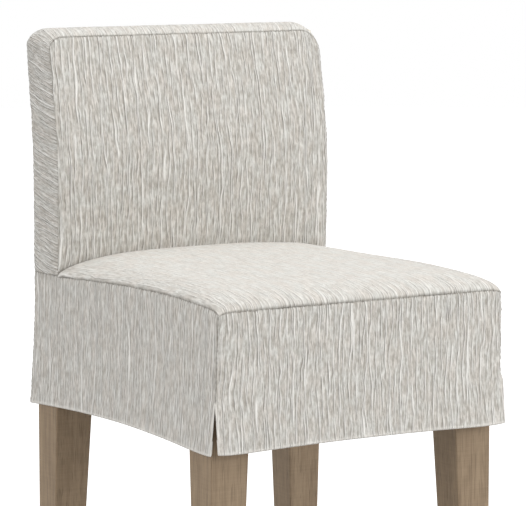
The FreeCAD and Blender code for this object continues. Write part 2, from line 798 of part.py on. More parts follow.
def cover_outside_back():
    """One panel from the top seam to the hem."""
    section = hanging_strip(outside_back_y + SKIRT_FLARE, outside_back_y, -CLOTH)
    section += [(outside_back_at(z) - CLOTH, z) for z in (bend_z, back_seam_z)]
    section += [(outside_back_at(z), z) for z in (back_seam_z, bend_z)]
    return along_x(section, -half_width, half_width).common(back_outline(0, hem_z))


def cover_back_boxing(inside_back, outside_back):
    """The strip up one side of the back, over the top and down the other side."""
    shell = back_slab(COVER_FACES, 0, hem_z).cut(back_slab(COVER_FACES, CLOTH, 0))
    above_seat = block((-REACH, -REACH, SEAT_SEAM_HEIGHT), (REACH, REACH, REACH))
    return shell.common(above_seat).cut(inside_back).cut(outside_back)


os.makedirs("parts", exist_ok=True)

# Frame
plain_front_leg = front_leg()
plain_rear_leg = rear_leg()
front_leg_bores = front_rail_dowels + side_front_dowels + [footrest_dowel, side_stretcher_dowels[0]]
rear_leg_bores = rear_rail_dowels + side_rear_dowels + back_dowels
rear_leg_bores += [rear_stretcher_dowel, side_stretcher_dowels[1]]
save_pair("front_leg", finished_leg(plain_front_leg, "front", front_leg_bores))
save_pair("rear_leg", finished_leg(plain_rear_leg, "rear", rear_leg_bores))
save("front_seat_rail", front_seat_rail())
save("rear_seat_rail", rear_seat_rail())
save_pair("side_seat_rail", side_seat_rail())
save("upper_back_rail", back_rail(upper_rail_z, upper_rail_dowels))
save("lower_back_rail", back_rail(lower_rail_z, lower_rail_dowels))
save("rail_dowels", both_sides([peg(*spec) for spec in rail_dowels]))
save("back_rail_dowels", both_sides([peg(*spec) for spec in back_dowels]))
save("corner_blocks", both_sides([corner_block(*corner) for corner in right_corners.values()]))
save("corner_bolts", both_sides([hanger_bolt(*corner) for corner in right_corners.values()]))
save("corner_nuts", both_sides([hanger_nut(*corner) for corner in right_corners.values()]))

# Foot level
footrest = cross_stretcher(
    footrest_y, FOOTREST_DEPTH, FOOTREST_TOP, FOOTREST_HEIGHT, [plain_front_leg], footrest_dowel
)
save("front_footrest", kick_bored(footrest))
save(
    "rear_stretcher",
    cross_stretcher(
        rear_stretcher_y,
        STRETCHER_THICKNESS,
        REAR_STRETCHER_TOP,
        STRETCHER_HEIGHT,
        [plain_rear_leg],
        rear_stretcher_dowel,
    ),
)
save_pair("side_stretcher", side_stretcher([plain_front_leg, plain_rear_leg]))
save("stretcher_dowels", both_sides([peg(*spec) for spec in stretcher_dowels]))
save("footrest_kick_plate", kick_plate())
save("kick_plate_screws", Part.makeCompound([kick_screw(place) for place in kick_screw_places]))
save("leveler_inserts", both_sides([leveler_insert(*foot) for foot in right_feet.values()]))
for place, foot in right_feet.items():
    save_pair(f"leveler_stud_{place}", leveler_stud(*foot))
    save_pair(f"leveler_pad_{place}", leveler_pad(*foot))

# Seat and back upholstery
save("seat_webbing_lengthwise", seat_webbing_lengthwise())
save("seat_webbing_crosswise", seat_webbing_crosswise())
save("seat_deck_cloth", seat_deck_cloth())
save("seat_foam", seat_foam())
save("front_rail_pad", front_rail_pad())
save("seat_muslin", seat_muslin())
save("dust_cover", dust_cover())
save("dust_cover_staples", dust_cover_staples())
save("back_webbing", back_webbing())
save("back_foam", back_foam())
save("back_top_pad", back_top_pad())
save("back_muslin", back_muslin())

# Slipcover
inside_back = cover_inside_back()
outside_back = cover_outside_back()
save("cover_inside_back", inside_back)
save("cover_outside_back", outside_back)
save("cover_back_boxing", cover_back_boxing(inside_back, outside_back))
save("cover_seat_top", cover_seat_top())
save("cover_front_skirt", cover_front_skirt())
save_pair("cover_skirt", cover_side_skirt())
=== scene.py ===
import json
import math

import bmesh
import bpy
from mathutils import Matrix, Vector, kdtree, noise

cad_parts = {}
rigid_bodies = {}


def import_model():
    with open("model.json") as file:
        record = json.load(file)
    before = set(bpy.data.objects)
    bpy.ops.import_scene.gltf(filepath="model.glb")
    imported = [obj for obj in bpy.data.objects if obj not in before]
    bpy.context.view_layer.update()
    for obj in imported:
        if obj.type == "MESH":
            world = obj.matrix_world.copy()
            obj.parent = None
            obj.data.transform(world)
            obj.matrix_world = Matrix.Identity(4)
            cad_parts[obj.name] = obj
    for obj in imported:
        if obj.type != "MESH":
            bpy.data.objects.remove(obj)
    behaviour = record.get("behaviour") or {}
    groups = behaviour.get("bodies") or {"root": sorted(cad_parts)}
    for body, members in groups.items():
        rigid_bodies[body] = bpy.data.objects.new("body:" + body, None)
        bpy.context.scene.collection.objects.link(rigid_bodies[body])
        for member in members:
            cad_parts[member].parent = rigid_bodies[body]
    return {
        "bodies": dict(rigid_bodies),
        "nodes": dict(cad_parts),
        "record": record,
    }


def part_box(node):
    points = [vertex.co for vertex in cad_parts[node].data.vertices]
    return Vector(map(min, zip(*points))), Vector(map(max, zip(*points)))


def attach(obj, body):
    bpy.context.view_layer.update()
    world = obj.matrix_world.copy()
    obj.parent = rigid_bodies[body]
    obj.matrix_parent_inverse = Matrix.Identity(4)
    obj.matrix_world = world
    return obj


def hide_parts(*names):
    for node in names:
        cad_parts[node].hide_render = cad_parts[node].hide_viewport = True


# Slipcovered bar stool, dressed on the CAD frame. Metres, +Z up, the sitter faces -Y.
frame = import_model()
frame_objects = set(frame["nodes"].values()) | set(frame["bodies"].values())
for leftover in [thing for thing in bpy.data.objects if thing not in frame_objects]:
    bpy.data.objects.remove(leftover)
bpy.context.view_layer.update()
scene = bpy.context.scene
scene.view_settings.view_transform = "Standard"

# Sizes of the cover, from the frame
CLOTH = 0.0015
half_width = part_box("cover_seat_top")[1].x
front_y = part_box("cover_seat_top")[0].y
seat_rear_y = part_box("cover_seat_top")[1].y
rear_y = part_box("cover_skirt_left")[1].y + CLOTH
seam_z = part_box("cover_front_skirt")[1].z
hem_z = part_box("cover_front_skirt")[0].z
top_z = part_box("cover_inside_back")[1].z
crest_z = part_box("cover_back_boxing")[1].z
inside_top_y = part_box("cover_inside_back")[1].y - CLOTH
outside_top_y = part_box("cover_outside_back")[1].y
seat_length = seat_rear_y - front_y
back_height = top_z - seam_z

# How the seat is shaped
SIDE_ARCH = 0.010
CORNER_DIP = 0.0025
CORNER_DIP_REACH = 0.013
SEAT_SHOULDER = 0.017
SHOULDER_REACH = 0.074
LEFT_SLOPE = 0.045
SEAT_DOME = 0.014

# How the back is shaped
BACK_BELLY = 0.005
BACK_PILLOW = 0.004
BACK_BEND = 0.5
BEND_SOFTNESS = 0.03
OUTSIDE_TOP_EASE = 0.003
INSIDE_LEFT_RADIUS = 0.025
INSIDE_RIGHT_RADIUS = 0.034
OUTSIDE_LEFT_RADIUS = 0.017
OUTSIDE_RIGHT_RADIUS = 0.030
BOXING_SIDE_CROWN = 0.0025

# How the skirt hangs: its flare in the middle and at the ends of a panel, its vents and its hem
FLARE_START = 0.04
OUTSIDE_FLARE = 0.006
MIDDLE_FLARE = 0.0015
SIDE_END_FLARE = 0.0045
FRONT_END_FLARE = 0.0035
LEFT_CORNER_FLARE = 0.0058
RIGHT_CORNER_FLARE = -0.0014
VENT_HEIGHT = 0.074
VENT_OPENING = 0.0065
VENT_SIDE_FLARE = 0.0030
LEFT_VENT_PULL = -0.0040
RIGHT_VENT_PULL = 0.0038
FRONT_HEM_ARCH = 0.0042
FRONT_HEM_LIFT = 0.0035
SIDE_HEM_DROP = 0.002
SIDE_HEM_ARCH = 0.0085
SIDE_HEM_LIFT = 0.0028
HEM_TURN = 0.024
HEM_GAP = 0.0026
vent_z = hem_z + VENT_HEIGHT


def clamp(value):
    return min(1.0, max(0.0, value))


def lerp(start, end, part):
    return start + (end - start) * part


def round_edge(distance, reach):
    """Quarter round from 0 at an edge to 1 at its reach."""
    return math.sqrt(1 - (1 - clamp(distance / reach)) ** 2)


# Faces of the stool that the panels lie on


def back_kick(z):
    """Lean of the back, from 0 below its bend to 1 at its top seam."""
    part = ((z - seam_z) / back_height - BACK_BEND) / (1 - BACK_BEND)
    return (part + math.sqrt(part * part + BEND_SOFTNESS)) / (1 + math.sqrt(1 + BEND_SOFTNESS))


def flare_part(z):
    """How far down the flared part of the skirt a height lies, from 0 at its start to 1 at the hem."""
    return clamp((seam_z - FLARE_START - z) / (seam_z - FLARE_START - hem_z))


def inside_face(z):
    """Y of the inside back at its side seams, with a slight forward belly."""
    belly = BACK_BELLY * math.sin(math.pi * clamp((z - seam_z) / back_height))
    return lerp(seat_rear_y, inside_top_y, back_kick(z)) - belly


def outside_face(z):
    """Y of the outside back, flaring a little to the hem."""
    flare = OUTSIDE_FLARE * flare_part(z) ** 1.4
    return lerp(rear_y, outside_top_y + OUTSIDE_TOP_EASE, back_kick(z)) + flare


def corner_dip(x, y):
    """How far the seams that meet at a front corner of the seat pull it down."""
    away = math.hypot(half_width - abs(x), y - front_y)
    return CORNER_DIP * math.exp(-((away / CORNER_DIP_REACH) ** 2))


def side_arch(along):
    """How far the cushion arches the seat's side seam up, between its ends at 0 and 1."""
    return SIDE_ARCH * math.sin(math.pi * along ** 0.75)


def side_seam_z(y):
    """Height of the seat's side seam."""
    along = clamp((y - front_y) / seat_length)
    return seam_z + side_arch(along) - corner_dip(half_width, y)


def seat_z(x, y):
    """Height of the seat: round shoulders at its seams, longer at the rear on the left, and a slow crown."""
    across = clamp(abs(x) / half_width)
    along = clamp((y - front_y) / seat_length)
    arch = side_arch(along) * across ** 6 - corner_dip(x, y)
    reach = SHOULDER_REACH + (LEFT_SLOPE * along ** 2 if x < 0 else 0.0)
    shoulder = SEAT_SHOULDER * round_edge(half_width - abs(x), reach)
    shoulder *= round_edge(y - front_y, SHOULDER_REACH)
    dome = SEAT_DOME * (1 - across ** 2.5) * (1 - (1 - along) ** 1.6)
    return seam_z + arch + shoulder + dome


def corner_inset(z, radius):
    """How far a back panel's side has moved in at a height, round its top corner."""
    above = clamp((z - (top_z - radius)) / radius)
    return radius * (1 - math.sqrt(1 - above * above))


def vent_part(z):
    """How far down the open vent a height lies, from 0 at its top to 1 at the hem."""
    return clamp((vent_z - z) / VENT_HEIGHT)


def corner_flare(z, side):
    """How far the seam of a front corner stands out sideways: the left one hangs out, the right one in."""
    most = LEFT_CORNER_FLARE if side < 0 else RIGHT_CORNER_FLARE
    return most * clamp((seam_z - z) / (seam_z - vent_z)) ** 1.2


def side_flare(y, z, side):
    """How far a side skirt stands out from the seat, most at its two corners."""
    along = clamp((y - front_y) / (rear_y - front_y))
    hung = (MIDDLE_FLARE + SIDE_END_FLARE * abs(2 * along - 1) ** 2.5) * flare_part(z) ** 1.5
    corner = corner_flare(z, side) + VENT_SIDE_FLARE * vent_part(z)
    return lerp(hung, corner, (1 - along) ** 4)


def front_flare(x, z):
    """How far the front skirt stands out, most at its two corners."""
    return (MIDDLE_FLARE + FRONT_END_FLARE * abs(x / half_width) ** 3) * flare_part(z) ** 1.5


def front_hem_z(x):
    """Height of the front hem, a little higher in the middle and lifted at the vents."""
    out = clamp(abs(x) / half_width)
    return hem_z + FRONT_HEM_ARCH * (1 - out ** 2) + FRONT_HEM_LIFT * out ** 12


def side_hem_z(y):
    """Height of a side hem, higher in the middle and lifted at the vent."""
    along = clamp((y - front_y) / (rear_y - front_y))
    lift = SIDE_HEM_LIFT * (1 - along) ** 24
    return hem_z - SIDE_HEM_DROP + SIDE_HEM_ARCH * math.sin(math.pi * along) + lift


# Outline of the back from the front: up the left side, over the top and down the right side
LEFT_END = 0.28
TOP_START = 0.32
TOP_END = 0.68
RIGHT_START = 0.72


def outline_point(part, left_radius, right_radius):
    """X and Z on the back's outline, and the outward direction there."""
    if part <= LEFT_END:
        return -half_width, lerp(seam_z, top_z - left_radius, part / LEFT_END), (-1.0, 0.0)
    if part >= RIGHT_START:
        down = (part - RIGHT_START) / (1 - RIGHT_START)
        return half_width, lerp(top_z - right_radius, seam_z, down), (1.0, 0.0)
    if part < TOP_START:
        turn = 0.5 * math.pi * (part - LEFT_END) / (TOP_START - LEFT_END)
        direction = (-math.cos(turn), math.sin(turn))
        centre = (-half_width + left_radius, top_z - left_radius)
        return centre[0] + left_radius * direction[0], centre[1] + left_radius * direction[1], direction
    if part > TOP_END:
        turn = 0.5 * math.pi * (part - TOP_END) / (RIGHT_START - TOP_END)
        direction = (math.sin(turn), math.cos(turn))
        centre = (half_width - right_radius, top_z - right_radius)
        return centre[0] + right_radius * direction[0], centre[1] + right_radius * direction[1], direction
    over = (part - TOP_START) / (TOP_END - TOP_START)
    return lerp(-half_width + left_radius, half_width - right_radius, over), top_z, (0.0, 1.0)


def inside_outline(part):
    x, z, outward = outline_point(part, INSIDE_LEFT_RADIUS, INSIDE_RIGHT_RADIUS)
    return Vector((x, inside_face(z), z)), outward


def outside_outline(part):
    x, z, outward = outline_point(part, OUTSIDE_LEFT_RADIUS, OUTSIDE_RIGHT_RADIUS)
    return Vector((x, outside_face(z), z)), outward


# Seams, which draw the cloth in along their lines and carry a painted shade along them
ROUGH_STEPS = 40
SEAM_STEP = 0.0015
STITCH_PITCH = 0.0085
STITCH_MEAN = 0.62
STITCH_SWING = 0.38
ROLL_WIDTH = 0.0065
NOTCH_WIDTH = 0.0017
# Width of the painted shade along a seam
SEAM_SHADE_WIDTH = 0.0016
PUCKER_REACH = 0.014
# Faintest painted seam shade, between the stitches
FAINT_SEAM_SHADE = 0.35
NOTCH_RATE = 55
PUCKER_RATE = 95
seams = []


def seam(path, roll=0.0016, notch=0.0016, pucker=0.0007, upright_shade=1.0):
    """A seam line: path(part) gives a point and the outward direction there, part from 0 to 1. The painted
    shade along its upright stretches can be fainter."""
    rough = [path(i / ROUGH_STEPS)[0] for i in range(ROUGH_STEPS + 1)]
    length = sum((end - start).length for start, end in zip(rough, rough[1:]))
    count = max(8, round(length / SEAM_STEP))
    tree = kdtree.KDTree(count + 1)
    outward = []
    seam_shade_strength = []
    for i in range(count + 1):
        point, direction = path(i / count)
        tree.insert(point, i)
        outward.append(Vector(direction).normalized())
        # Strength of the painted shade at each point of the seam
        seam_shade_strength.append(lerp(upright_shade, 1.0, clamp(1.4 * outward[i].z)))
    tree.balance()
    line = {"tree": tree, "outward": outward, "seam_shade_strength": seam_shade_strength, "step": length / count}
    line.update(roll=roll, notch=notch, pucker=pucker, phase=len(seams))
    seams.append(line)
    return line


def drawn_in(point, lines):
    """Where a point lies once the seams near it have drawn it in, and how much painted seam shade it takes.
    """
    moved = point.copy()
    painted_seam_shade = 0.0
    for line in lines:
        place, index, distance = line["tree"].find(point)
        if distance > 4 * PUCKER_REACH:
            continue
        run = index * line["step"]
        stitch = STITCH_MEAN + STITCH_SWING * math.cos(2 * math.pi * run / STITCH_PITCH)
        uneven = noise.noise(Vector((run * NOTCH_RATE, line["phase"] * 3.1, 0.5)))
        depth = line["roll"] * math.exp(-((distance / ROLL_WIDTH) ** 2))
        depth += line["notch"] * (stitch + 0.5 * uneven) * math.exp(-((distance / NOTCH_WIDTH) ** 2))
        gather = noise.noise(Vector((run * PUCKER_RATE, line["phase"] * 7.7, 2.5)))
        depth += line["pucker"] * gather * math.exp(-distance / PUCKER_REACH)
        moved -= line["outward"][index] * depth
        # Painted shade along the seam, darkest at the stitches
        near = line["seam_shade_strength"][index] * math.exp(-((distance / SEAM_SHADE_WIDTH) ** 2))
        painted_seam_shade = max(painted_seam_shade, (FAINT_SEAM_SHADE + (1 - FAINT_SEAM_SHADE) * stitch) * near)
    return moved, painted_seam_shade


def front_path(part):
    x = lerp(-half_width, half_width, part)
    return Vector((x, front_y, seam_z - corner_dip(x, front_y))), (0, -1, 1)


def junction_path(part):
    x = lerp(-half_width, half_width, part)
    return Vector((x, seat_rear_y, seat_z(x, seat_rear_y))), (0, -1, 1)


def outline_path(outline, facing):
    """The path of a seam round the back, on its front with facing -1 or on its rear with 1."""
    def path(part):
        point, outward = outline(part)
        return point, (outward[0], facing, outward[1])
    return path


front_seam = seam(front_path)
inside_seam = seam(outline_path(inside_outline, -1), upright_shade=FAINT_SEAM_SHADE)
outside_seam = seam(outline_path(outside_outline, 1), roll=0.0008, notch=0.0010)
junction_seam = seam(junction_path, roll=0.003, notch=0.002)


def side_lines(side):
    """The seams of one side of the stool: -1 is the left, 1 the right."""
    edge_x = side * half_width

    def seat_path(part):
        y = lerp(front_y, seat_rear_y, part)
        return Vector((edge_x, y, side_seam_z(y))), (side, 0, 1)

    def boxing_path(part):
        return Vector((edge_x, lerp(seat_rear_y, rear_y, part), seam_z)), (side, 0, 0)

    def rear_path(part):
        z = lerp(hem_z, seam_z, part)
        return Vector((side * (half_width + side_flare(rear_y, z, side)), outside_face(z), z)), (side, 1, 0)

    def corner_path(part):
        z = lerp(vent_z, seam_z, part)
        x = side * (half_width + corner_flare(z, side))
        return Vector((x, front_y - front_flare(half_width, z), z)), (side, -1, 0)

    return {
        "seat": seam(seat_path),
        "corner": seam(corner_path),
        "boxing": seam(boxing_path, roll=0.0006, notch=0.0010),
        "rear": seam(rear_path, roll=0.0008, notch=0.0010),
    }


left_lines = side_lines(-1)
right_lines = side_lines(1)


# Mesh tools


def made_mesh(name, shape):
    """A mesh from a bmesh, which is freed."""
    mesh = bpy.data.meshes.new(name)
    shape.to_mesh(mesh)
    shape.free()
    return mesh


def link(name, data):
    thing = bpy.data.objects.new(name, data)
    scene.collection.objects.link(thing)
    return thing


def thicken(piece, thickness):
    """Gives a sheet its thickness, inwards."""
    thick = piece.modifiers.new("cloth", "SOLIDIFY")
    thick.thickness = thickness
    thick.offset = -1


# Cloth panels, each cut flat and laid on the stool
PANEL_STEP = 0.0032
FINE_STEP = 0.001
FINE_BAND = 0.009
# Width of the painted highlight along a fold
FOLD_HIGHLIGHT_WIDTH = 0.0026
RIPPLE_HEIGHT = 0.0006
WEAVE_SHIFT = 0.61
ALONG_SHIFT = 0.37
TUCK = 0.006
BACK_CORE = (0, 0.5 * (seat_rear_y + rear_y), lerp(seam_z, top_z, 0.5))
SEAT_CORE = (0, 0.5 * (front_y + seat_rear_y), lerp(hem_z, seam_z, 0.5))
panels = []


def panel_steps(length):
    """Places of the grid lines along one edge of a panel, closer together beside the seams."""
    near = [i * FINE_STEP for i in range(round(FINE_BAND / FINE_STEP))]
    count = max(1, round((length - 2 * FINE_BAND) / PANEL_STEP))
    middle = [lerp(FINE_BAND, length - FINE_BAND, i / count) for i in range(count + 1)]
    return near + middle + [length - place for place in reversed(near)]


def ripple(across, along, seed):
    """Slow unevenness of cloth that isn't quite flat."""
    return RIPPLE_HEIGHT * noise.noise(Vector((across * 13, along * 8, seed)))


def cloth_panel(name, width, length, place, lines, core, rise=None, fold=None, grain=None):
    """A panel cut width by length: place(across, along) lays a point of the cut on the stool, whose core is
    behind the panel. Where they are given, the slub function says how far the slubs stand up at a point,
    which also sets how strongly their painted highlight and shadow show, fold how far it is from the fold
    of a hem or vent, which carries a painted highlight, and grain where its weave is read."""
    across_steps = panel_steps(width)
    along_steps = panel_steps(length)
    grid = bmesh.new()
    weave = grid.loops.layers.uv.new("weave")
    seam_shade_strength = grid.verts.layers.float.new("painted_seam_shade")
    slubs = grid.verts.layers.float.new("rise")
    edges = grid.verts.layers.float.new("painted_fold_highlight")
    columns = len(across_steps) - 1
    rows = len(along_steps) - 1
    bmesh.ops.create_grid(grid, x_segments=columns, y_segments=rows, size=1)
    cut = {}
    for vert in grid.verts:
        across = across_steps[round((vert.co.x + 1) / 2 * columns)]
        along = along_steps[round((vert.co.y + 1) / 2 * rows)]
        cut[vert] = (across, along)
    for vert in grid.verts:
        # Each point also takes its painted seam shade
        vert.co, vert[seam_shade_strength] = drawn_in(Vector(place(*cut[vert])), lines)
        # How far the slubs stand up, which also sets how strongly their painted highlight and shadow show
        vert[slubs] = rise(*cut[vert]) if rise else 1.0
        # Painted highlight along the fold of a hem or vent
        if fold:
            vert[edges] = math.exp(-((fold(*cut[vert]) / FOLD_HIGHLIGHT_WIDTH) ** 2))
    shift = WEAVE_SHIFT * len(panels)
    for face in grid.faces:
        face.smooth = True
        for loop in face.loops:
            across, along = grain(*cut[loop.vert]) if grain else cut[loop.vert]
            loop[weave].uv = (across + shift, along + ALONG_SHIFT * shift)
    grid.normal_update()
    grid.faces.ensure_lookup_table()
    middle = grid.faces[(rows // 2) * columns + columns // 2]
    if middle.normal.dot(middle.calc_center_median() - Vector(core)) < 0:
        bmesh.ops.reverse_faces(grid, faces=grid.faces)
    piece = link(name, made_mesh(name, grid))
    thicken(piece, CLOTH)
    panels.append(piece)
    return piece


def lay_inside_back(across, along):
    z = seam_z - TUCK + along
    left = -half_width + corner_inset(z, INSIDE_LEFT_RADIUS)
    right = half_width - corner_inset(z, INSIDE_RIGHT_RADIUS)
    part = across / (2 * half_width)
    pillow = BACK_PILLOW * (1 - (2 * part - 1) ** 4) * math.sin(math.pi * clamp((z - seam_z) / back_height))
    return lerp(left, right, part), inside_face(z) - pillow - ripple(across, along, 1), z


inside_back = cloth_panel(
    "slipcover_inside_back", 2 * half_width, back_height + TUCK, lay_inside_back,
    [inside_seam, junction_seam], BACK_CORE,
    grain=lambda across, along: (half_width + lay_inside_back(across, along)[0], along),
)


def hem_turn(along, drop):
    """Distance down a hanging panel, and how far inwards it lies once it turns up at the hem."""
    if along <= drop:
        return along, 0.0
    turned = along - drop
    bend = 0.5 * math.pi * HEM_GAP
    if turned < bend:
        angle = math.pi * turned / bend
        return drop + 0.5 * HEM_GAP * math.sin(angle), 0.5 * HEM_GAP * (1 - math.cos(angle))
    return drop - (turned - bend), HEM_GAP


OUTSIDE_DROP = top_z - hem_z


def lay_outside_back(across, along):
    down, inward = hem_turn(along, OUTSIDE_DROP)
    z = top_z - down
    edge = half_width + side_flare(rear_y, z, 1)
    right = edge - corner_inset(z, OUTSIDE_RIGHT_RADIUS)
    left = corner_inset(z, OUTSIDE_LEFT_RADIUS) - edge
    part = across / (2 * half_width)
    return lerp(right, left, part), outside_face(z) - inward + ripple(across, along, 2), z


outside_back = cloth_panel(
    "slipcover_outside_back", 2 * half_width, OUTSIDE_DROP + HEM_TURN, lay_outside_back,
    [outside_seam, left_lines["rear"], right_lines["rear"]], BACK_CORE,
    fold=lambda across, along: abs(along - OUTSIDE_DROP),
    grain=lambda across, along: (half_width - lay_outside_back(across, along)[0], along),
)

# The boxing loses a little length round the corners, and is wider at the seat than at the top
CORNER_LOSS = 0.023
FOOT_EXTRA = 0.0068
BOXING_LENGTH = 2 * back_height + 2 * half_width - CORNER_LOSS
BOXING_WIDTH = outside_top_y - inside_top_y + FOOT_EXTRA
# How far the relief and the painted highlight and shadow fade where the boxing faces up
TOP_CALM = 0.35
BOXING_SLANT = 0.25
top_crown = crest_z - top_z


def lay_boxing(across, along):
    part = across / BOXING_LENGTH
    near, outward = inside_outline(part)
    far = outside_outline(part)[0]
    over = along / BOXING_WIDTH
    crown = lerp(BOXING_SIDE_CROWN, top_crown, max(0.0, outward[1]) ** 2) * 4 * over * (1 - over)
    crown += ripple(across, along, 3)
    return near.lerp(far, over) + Vector((outward[0], 0, outward[1])) * crown


def boxing_relief_and_painted_shading(across, along):
    """The slubs stand up less, and their painted highlight and shadow fade, where the boxing faces up."""
    return 1 - TOP_CALM * max(0.0, inside_outline(across / BOXING_LENGTH)[1][1]) ** 2


boxing = cloth_panel(
    "slipcover_back_boxing", BOXING_LENGTH, BOXING_WIDTH, lay_boxing,
    [inside_seam, outside_seam, left_lines["boxing"], right_lines["boxing"]], BACK_CORE, boxing_relief_and_painted_shading,
    grain=lambda across, along: ((1 + BOXING_SLANT) * across - BOXING_SLANT * along, along),
)

# Relief and painted highlight and shadow of the seat's slubs, at its seams and over its middle
EDGE_RELIEF_AND_SHADING = 0.75
MIDDLE_RELIEF_AND_SHADING = 0.45
RELIEF_AND_SHADING_REACH = 0.06


def lay_seat(across, along):
    x = across - half_width
    y = front_y + along
    return x, y, seat_z(x, y) + ripple(across, along, 4)


def seat_relief_and_painted_shading(across, along):
    """The slubs stand up less, and their painted highlight and shadow fade, over the middle of the seat,
    which faces up; towards the seams they stand up more.
    """
    edge = min(across, 2 * half_width - across, along)
    return lerp(EDGE_RELIEF_AND_SHADING, MIDDLE_RELIEF_AND_SHADING, clamp(edge / RELIEF_AND_SHADING_REACH))


seat_top = cloth_panel(
    "slipcover_seat_top", 2 * half_width, seat_length, lay_seat,
    [front_seam, junction_seam, left_lines["seat"], right_lines["seat"]], SEAT_CORE, seat_relief_and_painted_shading,
)

SKIRT_DROP = seam_z - hem_z
VENT_DROP = SKIRT_DROP - VENT_HEIGHT
SIDE_LENGTH = rear_y - front_y


def lay_front_skirt(across, along):
    down, inward = hem_turn(along, SKIRT_DROP)
    x = across - half_width
    z = lerp(seam_z - corner_dip(x, front_y), front_hem_z(x), down / SKIRT_DROP)
    hang = corner_flare(z, x) + (RIGHT_VENT_PULL if x > 0 else LEFT_VENT_PULL) * vent_part(z) ** 0.8
    widened = x / half_width * (half_width + hang)
    return widened, front_y - front_flare(x, z) + inward + ripple(across, along, 5), z


def from_fold(along, from_vent):
    """Distance from the fold of the hem or, below its top, from the fold at a vent's edge, where the painted
    highlight lies.
    """
    hem = abs(along - SKIRT_DROP)
    return min(hem, from_vent) if along > VENT_DROP else hem


front_skirt = cloth_panel(
    "slipcover_front_skirt", 2 * half_width, SKIRT_DROP + HEM_TURN, lay_front_skirt,
    [front_seam, left_lines["corner"], right_lines["corner"]], SEAT_CORE,
    fold=lambda across, along: from_fold(along, min(across, 2 * half_width - across)),
)


def lay_side_skirt(side):
    def lay(across, along):
        down, inward = hem_turn(along, SKIRT_DROP)
        part = across / SIDE_LENGTH
        nominal_y = front_y + across
        z = lerp(side_seam_z(nominal_y), side_hem_z(nominal_y), down / SKIRT_DROP)
        start = front_y - front_flare(half_width, z) * (1 - vent_part(z))
        start += VENT_OPENING * vent_part(z) ** 0.6
        y = lerp(start, outside_face(z), part)
        out = half_width + side_flare(nominal_y, z, side) - inward + ripple(across, along, 6 + side)
        return side * out, y, z
    return lay


side_skirts = []
for word, side, lines in (("left", -1, left_lines), ("right", 1, right_lines)):
    side_skirts.append(cloth_panel(
        f"slipcover_skirt_{word}", SIDE_LENGTH, SKIRT_DROP + HEM_TURN, lay_side_skirt(side),
        [lines["seat"], lines["corner"], lines["boxing"], lines["rear"]], SEAT_CORE,
        fold=lambda across, along: from_fold(along, across),
    ))


# Padded seat and back under the cover, each shaped, swollen by air pressure as cloth, and held in its room
PAD_INSET = 0.0023
PAD_HALF_WIDTH = half_width - PAD_INSET
PAD_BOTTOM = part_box("dust_cover")[1].z + 0.0012
FRAME_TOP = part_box("front_seat_rail")[1].z
BLOCK_CUTS = 30
PAD_VOXEL = 0.006
SMOOTH_TURNS = 6
AIR_PRESSURE = 4
LAST_FRAME = 20
SWELL = 0.003
TIGHT = 0.0045
SLIT_DEPTH = 0.014
slit_z = seam_z - SLIT_DEPTH


def settled(piece):
    """The piece's mesh with its modifiers applied."""
    graph = bpy.context.evaluated_depsgraph_get()
    return bpy.data.meshes.new_from_object(piece.evaluated_get(graph))


def shaped_block(name, place):
    """A closed block whose grid of points, each from -1 to 1 along the three ways, place() shapes."""
    block = bmesh.new()
    bmesh.ops.create_cube(block, size=2)
    bmesh.ops.subdivide_edges(block, edges=block.edges, cuts=BLOCK_CUTS, use_grid_fill=True)
    for vert in block.verts:
        vert.co = place(*vert.co)
    bmesh.ops.recalc_face_normals(block, faces=block.faces)
    return made_mesh(name, block)


def swollen_pad(name, place, is_soft, hold):
    """A pad from a shaped block: soft edges rounded, blown up a little where it isn't tacked to the wood,
    and held inside its room."""
    piece = link(name, shaped_block(name, place))
    even = piece.modifiers.new("even", "REMESH")
    even.mode = "VOXEL"
    even.voxel_size = PAD_VOXEL
    mesh = settled(piece)
    piece.modifiers.clear()
    skin = bmesh.new()
    skin.from_mesh(mesh)
    soft = [vert for vert in skin.verts if is_soft(vert.co)]
    tacked = [vert.index for vert in skin.verts if not is_soft(vert.co)]
    for turn in range(SMOOTH_TURNS):
        bmesh.ops.smooth_vert(
            skin, verts=soft, factor=0.5, use_axis_x=True, use_axis_y=True, use_axis_z=True,
        )
    skin.to_mesh(mesh)
    skin.free()
    piece.data = mesh
    start = [vert.co.copy() for vert in mesh.vertices]
    piece.vertex_groups.new(name="tacked").add(tacked, 1.0, "REPLACE")
    air = piece.modifiers.new("air", "CLOTH")
    air.settings.vertex_group_mass = "tacked"
    air.settings.use_pressure = True
    air.settings.uniform_pressure_force = AIR_PRESSURE
    air.settings.effector_weights.gravity = 0
    air.point_cache.frame_start = 1
    air.point_cache.frame_end = LAST_FRAME
    for step in range(1, LAST_FRAME + 1):
        scene.frame_set(step)
    mesh = settled(piece)
    piece.modifiers.clear()
    piece.data = mesh
    piece.vertex_groups.clear()
    scene.frame_set(1)
    tight = set()
    for vert, rest in zip(mesh.vertices, start):
        move = vert.co - rest
        if move.length > SWELL:
            move *= SWELL / move.length
        vert.co, is_tight = hold(rest + move)
        if is_tight:
            tight.add(vert.index)
    crease = mesh.attributes.new("crease_edge", "FLOAT", "EDGE")
    for edge in mesh.edges:
        crease.data[edge.index].value = 1.0 if tight.issuperset(edge.vertices) else 0.0
    for face in mesh.polygons:
        face.use_smooth = True
    finer = piece.modifiers.new("finer", "SUBSURF")
    finer.levels = 1
    finer.render_levels = 1
    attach(piece, "stool")
    return piece


def drawn_tight(x, y, half, end):
    """Whether a point is so near a hard upright edge of the frame that the muslin is drawn over it."""
    return half - abs(x) < TIGHT and abs(end - y) < TIGHT


